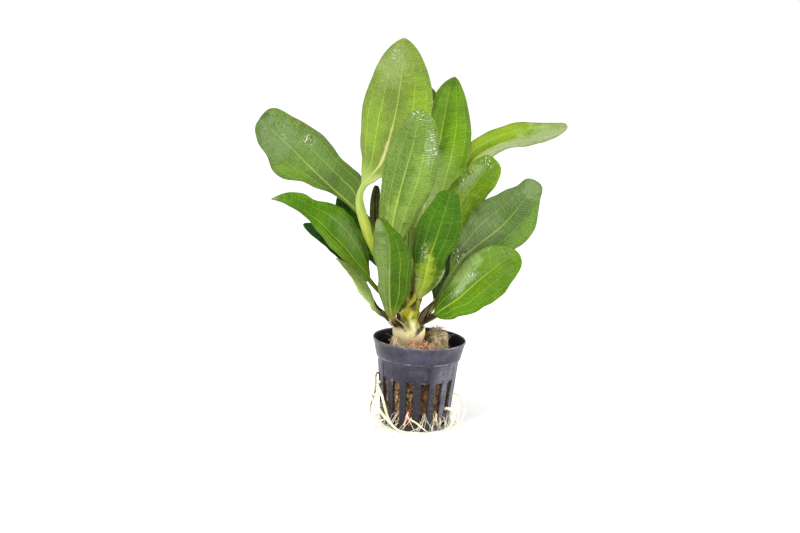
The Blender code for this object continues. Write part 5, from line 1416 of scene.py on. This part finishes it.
def build_plug():
    """The plug's felted body: its side, and its top in rings that close in towards the middle."""
    turns = np.linspace(0, math.tau, PLUG_COLUMNS, endpoint=False)
    heights = np.concatenate((np.linspace(FLOOR + 0.3, SLOT_TOP, PLUG_ROWS[0]),
                              np.linspace(SLOT_TOP + 0.6, PLUG_TOP, PLUG_ROWS[1])))[:, None]
    side = on_circle(plug_radius(heights), turns, heights)
    top = on_circle(PLUG_TOP_RADIUS * np.linspace(0.985, 0.0, PLUG_ROWS[2])[:, None], turns, 0.0)
    top[..., 2] = plug_height(top[..., 0], top[..., 1])
    points = np.concatenate((side, top))
    flat = points.reshape(-1, 3)
    lumps = sum(size * wobble_at(flat, scale, seed) for size, scale, seed in PLUG_LUMPS)
    outward = flat * (1.0, 1.0, 0.0)
    outward[:, 2] = np.where(flat[:, 2] >= PLUG_TOP - 0.01, 14.0, 0.0)
    moved = flat + unit(outward + 1e-6) * (lumps - 0.45)[:, None]
    form = Form("felt_map")
    form.add(moved, grid_faces(len(points), PLUG_COLUMNS, around=True),
             felt_map=point_values(lumps.shape, 1.0, lumps, 0.0))
    form.faces.append(np.arange(PLUG_COLUMNS)[None, ::-1])
    body = form.build("rock_wool_felt", felt_shader())
    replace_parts(body, "rock_wool_plug")


def tube(form, points, radii, sides, **values):
    """A tube along points, with a radius for each of them."""
    points = np.asarray(points, float)
    tangent = unit(np.gradient(points, axis=0))
    normal = np.zeros_like(points)
    lead = np.array((0.0, 0.0, 1.0)) if abs(tangent[0, 2]) < 0.9 else np.array((1.0, 0.0, 0.0))
    for i, way in enumerate(tangent):
        lead = unit(lead - (lead @ way) * way)
        normal[i] = lead
    other = np.cross(tangent, normal)
    turns = np.linspace(0, math.tau, sides, endpoint=False)[None, :, None]
    ring = normal[:, None, :] * np.cos(turns) + other[:, None, :] * np.sin(turns)
    skin = points[:, None, :] + ring * np.asarray(radii, float)[:, None, None]
    form.add(skin, grid_faces(len(points), sides, around=True), **values)


def strand_path(start, heading, length, steps, bend, chance):
    """A wandering path: each step turns a little at random."""
    path = [np.array(start, float)]
    way = np.array(heading, float)
    for _ in range(steps):
        way = unit(way + chance.normal(0.0, bend, 3))
        path.append(path[-1] + way * length / steps)
    return np.array(path)


def inside_pot(path):
    """The path kept inside the pot's wall."""
    radius = np.hypot(path[:, 0], path[:, 1])
    limit = body_radius(np.clip(path[:, 2], 0.0, POT_HEIGHT - 1.0)) - WALL - WALL_GAP
    path[:, :2] *= np.minimum(1.0, limit / np.maximum(radius, 0.01))[:, None]
    path[:, 2] = np.maximum(path[:, 2], FLOOR + 0.3)
    return path


def add_strand(form, start, heading, lengths, bend, thickest, chance):
    """A loose strand, with a random length, thickness and tone."""
    path = strand_path(start, heading, chance.uniform(*lengths), STRAND_STEPS, bend, chance)
    radii = chance.uniform(THINNEST_STRAND, thickest) * STRAND_TAPER
    tone = (chance.uniform(0.0, 1.0), chance.uniform(-0.4, 0.4), 1.0)
    tube(form, inside_pot(path), radii, 3, felt_map=tone)


def build_fibres():
    """Loose strands of the rock wool over the plug's sides and top."""
    chance = np.random.default_rng(41)
    form = Form("felt_map")
    for _ in range(SIDE_STRANDS):
        height = chance.uniform(FLOOR + 0.6, SLOT_TOP + 4)
        turn = chance.uniform(0, math.tau)
        upright = chance.choice((-1.0, 1.0)) * chance.uniform(0.3, 1.6)
        start = on_circle(plug_radius(height) - 0.2, turn, height)
        heading = unit(np.array((-math.sin(turn), math.cos(turn), upright)))
        add_strand(form, start, heading, (2.5, 7.0), 0.28, 0.13, chance)
    for _ in range(TOP_STRANDS):
        x, y = chance.uniform(-1, 1, 2) * PLUG_TOP_RADIUS
        if np.hypot(x, y) > PLUG_TOP_RADIUS - 0.5 or np.hypot(*((x, y) - CROWN_AXIS)) < BARE_RADIUS:
            continue
        heading = unit(chance.normal(0.0, 1.0, 3) * (1, 1, 0.45) + np.array((0, 0, 0.25)))
        add_strand(form, (x, y, plug_height(x, y) - 0.3), heading, (2.0, 6.0), 0.35, 0.14, chance)
    return form.build("rock_wool_strands", felt_shader())


def felt_shader():
    s = Shade("rock wool")
    tone, lump, strand = s.attribute("felt_map")
    place = s.place()
    x, y, height = s.split(place)
    clumps = s.noise(s.vector(x, y, height * 0.35), 0.28, 4.0, 0.6)
    fuzz = s.noise(place, 1.6, 4.0, 0.7)
    upright = s.noise(s.vector(x, y, height * 0.18), 0.9, 3.0, 0.6)
    shreds = s.noise(s.vector(x, y, height * 0.55), 0.80, 3.0, 0.65)

    # Painted light: the plug behind the slots lighter on the left and darker on the right
    lit = s.colour(s.ramp(x, -18.0, 6.0), *MAT_PAINTED_LIGHT)
    # Painted shade: near black in the hollows between shreds and in upright gaps
    brown = s.colour(s.ramp(shreds, 0.45, 0.55), MAT_HOLLOW_SHADE, lit)
    brown = s.colour(s.ramp(clumps, 0.40, 0.62, 0.0, 0.5), brown, MAT_CLUMP)
    brown = s.colour(s.ramp(upright, 0.44, 0.58, 0.0, 0.8), brown, MAT_UPRIGHT_GAP_SHADE)
    tan = s.colour(s.ramp(fuzz, 0.40, 0.60), *WOOL_TONES)
    torn = x * 0.11 + (clumps - 0.5) * 2.4
    dark_side = s.ramp(torn, 0.35, 0.95, 1.0, 0.0) * s.ramp(x, -3.0, 1.0)
    tan = s.colour(dark_side * 0.9, tan, WOOL_SHADED)
    tan = s.colour(s.ramp(clumps, 0.38, 0.54, 0.75, 0.0), tan, WOOL_MATTED)
    wool = s.colour(s.ramp(height, 36.0, 46.0), brown, tan)
    bright = strand * tone * s.ramp(height, 30.0, 48.0, 0.6, 0.75)
    bright = bright * s.ramp(dark_side, 0.0, 1.0, 1.0, 0.25)
    wool = s.colour(bright, wool, s.colour(s.ramp(height, 34.0, 44.0), *STRAND_TONES))
    # Painted shade in the dips, where the lumps push the surface in
    pit_shade = s.ramp(lump + (fuzz - 0.5) * 0.9, -0.75, -0.05, 0.85, 0.0)
    return s.surface({
        "Base Color": s.colour(pit_shade, wool, PIT_SHADE_TONE),
        "Roughness": 0.92,
        "Normal": s.bump(fuzz * 0.5),
        "Specular IOR Level": 0.15,
    })


def pot_points(path):
    """Points from (angle from the front, distance from the axis, height)."""
    degrees, radii, heights = np.array(path, float).T
    return on_circle(radii, np.radians(degrees - 90.0), heights)


def add_root(form, points, radii, sides, along, shade):
    """A round root, with the place along it and the side of each point, and a shade for all of it."""
    values = point_values((len(points), sides), along[:, None], np.arange(float(sides)), shade)
    tube(form, points, radii, sides, root_map=values)


def build_rootlets():
    """Short coppery rootlets that break out of the plug in front of the crown."""
    chance = np.random.default_rng(19)
    form = Form("root_map")
    for _ in range(ROOTLET_COUNT):
        x, y = chance.uniform(-4.0, 8.5), chance.uniform(-14.5, -7.5)
        base = plug_height(x, y) - 0.4
        heading = unit(np.array((chance.normal(0.2, 0.8), chance.normal(-0.2, 0.5),
                                 chance.uniform(0.3, 1.4))))
        path = strand_path((x, y, base), heading, chance.uniform(2.5, 6.5), ROOTLET_STEPS, 0.34, chance)
        path[:, 2] = np.clip(path[:, 2], base - 0.2, base + 4.2)
        radii = chance.uniform(0.18, 0.42) * np.linspace(1.0, 0.35, ROOTLET_STEPS + 1)
        shade = chance.uniform(0, 60)
        along = np.arange(ROOTLET_STEPS + 1.0) + shade
        add_root(form, inside_pot(path), radii, ROOTLET_SIDES, along, shade)
    return form.build("crown_rootlets", root_shader("root_copper", 21))


def build_roots():
    """The thick roots, each with its small swellings and a thinner tip."""
    for order, root in enumerate(ROOTS):
        curve, lengths = smooth_curve(pot_points(root["path"]))
        count = max(24, round(lengths[-1] / ROOT_STEP))
        at = np.linspace(0.0, lengths[-1], count)
        points = rows_at(at, lengths, curve)
        share = at / lengths[-1]
        swell = 1 + 0.10 * wobble_at(points, 0.5, order) + 0.06 * np.sin(2.1 * at + order)
        radii = root["diameter"] / 2 * swell * (1 - 0.55 * smoothstep(0.55, 1.0, share))
        radii[-1] = 0.02
        shift = np.stack([wobble_at(points, 0.35, order + seed) for seed in (11.0, 23.0, 37.0)], axis=1)
        points = points + ROOT_WANDER * shift * smoothstep(0.0, 0.1, share)[:, None]
        points[:, 2] = np.maximum(points[:, 2], radii + 0.05)
        form = Form("root_map")
        add_root(form, points, radii, ROOT_SIDES, at, float(order))
        piece = form.build(root["name"] + "_skin", root_shader(root["slot"], order))
        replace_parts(piece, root["name"])


def build_root_hairs():
    """Fine side roots: out of the slots, down the ribs and over the ground round the base."""
    chance = np.random.default_rng(7)
    form = Form("root_map")
    for _ in range(SLOT_HAIRS):
        slot = chance.integers(SLOT_COUNT)
        degrees = FIRST_SLOT_ANGLE + 360.0 / SLOT_COUNT * slot + chance.uniform(-5, 5)
        height = chance.uniform(3.5, 16) ** 0.9
        drift = chance.uniform(-26, 26)
        out = chance.uniform(0.3, 3.5)
        wall = body_radius(height)
        knots = [(degrees, wall - 2.0, height),
                 (degrees, wall + 0.4, height - 0.2),
                 (degrees + drift * 0.3, wall + out * 0.6, height * 0.62),
                 (degrees + drift * 0.65, BASE_RADIUS + out + 0.5, height * 0.22 + 0.3),
                 (degrees + drift, BASE_RADIUS + out + chance.uniform(1.0, 4.5), 0.2),
                 (degrees + drift * chance.uniform(1.2, 2.2), BASE_RADIUS + chance.uniform(1.0, 7.5), 0.15)]
        add_hair(form, knots, chance.uniform(0.07, 0.17), chance)
    for _ in range(GROUND_HAIRS):
        degrees = chance.uniform(-120, 200) if chance.uniform() < 0.5 else chance.uniform(-60, 40)
        drift = chance.uniform(20, 60) * chance.choice((-1.0, 1.0))
        near = BASE_RADIUS + chance.uniform(0.4, 3.0)
        knots = [(degrees, near, 0.25),
                 (degrees + drift * 0.35, near + chance.uniform(0.5, 4.0), 0.6),
                 (degrees + drift * 0.7, near + chance.uniform(0.5, 6.0), 0.2),
                 (degrees + drift, near + chance.uniform(0.0, 7.0), 0.2)]
        add_hair(form, knots, chance.uniform(0.06, 0.14), chance)
    for _ in range(LOOP_HAIRS):
        degrees = chance.uniform(55, 95)
        out = chance.uniform(2.0, 7.5)
        high = chance.uniform(9.0, 19.0)
        wall = body_radius(high)
        knots = [(degrees, wall - 1.5, high),
                 (degrees + 2, wall + 1.0, high + 0.5),
                 (degrees - 3, wall + out * 0.8, high * 0.85),
                 (degrees - 8, BASE_RADIUS + out + 1.5, high * 0.5),
                 (degrees - 16, BASE_RADIUS + out, 1.6),
                 (degrees - 34, BASE_RADIUS + out * 0.6 + 1.0, 0.2)]
        add_hair(form, knots, chance.uniform(0.07, 0.15), chance)
    return form.build("fine_roots", root_shader("root_white", 20))


def add_hair(form, knots, radius, chance):
    """A hair-thin root near its knots, thinner towards its tip."""
    curve, lengths = smooth_curve(pot_points(knots))
    count = max(8, int(lengths[-1] / HAIR_STEP))
    at = np.linspace(0.0, lengths[-1], count)
    points = rows_at(at, lengths, curve) + chance.normal(0.0, 0.10, (count, 3))
    points[:, 2] = np.maximum(points[:, 2], radius + 0.02)
    radii = radius * (1 - 0.75 * (at / lengths[-1]) ** 2)
    shade = chance.uniform(0, 60)
    add_root(form, points, radii, HAIR_SIDES, at + shade, shade)


def root_shader(slot, order):
    light, dark = ROOT_COLOURS[slot]
    s = Shade(f"root {order}")
    along, _, shade = s.attribute("root_map")
    rings = s.noise(s.vector(along * 0.8, shade, 0.0), 0.7, 3.0)
    skin = s.noise(s.place(), 0.8, 4.0, 0.6)
    colour = s.colour(s.ramp(rings, 0.42, 0.72), light, dark)
    return s.surface({
        "Base Color": s.colour(s.ramp(skin, 0.55, 0.75, 0.0, 0.7), colour, dark),
        "Roughness": 0.45,
        "Normal": s.bump(skin * 0.12 + rings * 0.08, 0.8),
        "Subsurface Weight": 0.1,
        "Subsurface Radius": (1.0, 0.7, 0.4),
        "Subsurface Scale": 0.0008,
    })


def build_ground():
    """The pale floor, which belongs to the stage."""
    frame = bmesh.new()
    bmesh.ops.create_circle(frame, cap_ends=True, segments=96, radius=FLOOR_RADIUS)
    floor = object_from("floor", frame, smooth=False)
    s = Shade("pale floor")
    floor.data.materials.append(s.surface({"Base Color": FLOOR_TONE, "Roughness": 0.75}))


def add_light(name, place, size, power):
    data = bpy.data.lights.new(name, "AREA")
    data.shape = "DISK"
    data.size = size
    data.energy = power
    light = add_object(name, data)
    light.location = Vector(place)
    light.rotation_euler = (Vector(LIGHT_TARGET) - Vector(place)).to_track_quat("-Z", "Y").to_euler()


def light_scene():
    world = bpy.data.worlds.new("White surroundings")
    bpy.context.scene.world = world
    world.use_nodes = True
    sky = world.node_tree.nodes["Background"]
    sky.inputs["Color"].default_value = (1.0, 1.0, 1.0, 1.0)
    sky.inputs["Strength"].default_value = SKY_STRENGTH
    for light in LIGHTS:
        add_light(**light)
    bpy.context.scene.view_settings.view_transform = "Standard"


def set_camera():
    data = bpy.data.cameras.new("Camera")
    data.lens = CAMERA_LENS
    data.clip_end = 100.0
    camera = add_object("Camera", data)
    pitch = Matrix.Rotation(math.radians(90.0 - CAMERA_PITCH), 4, "X")
    roll = Matrix.Rotation(math.radians(CAMERA_ROLL), 4, "Z")
    camera.matrix_world = Matrix.Translation(Vector(CAMERA_PLACE) * MM) @ pitch @ roll
    bpy.context.scene.camera = camera


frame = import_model()
leaf_forms = [Leaf(measures) for measures in LEAVES]
set_camera()
light_scene()
build_ground()
build_pot()
build_plug()
build_fibres()
build_crown(leaf_forms)
for leaf_form in leaf_forms:
    build_leaf(leaf_form)
build_roots()
build_rootlets()
build_root_hairs()
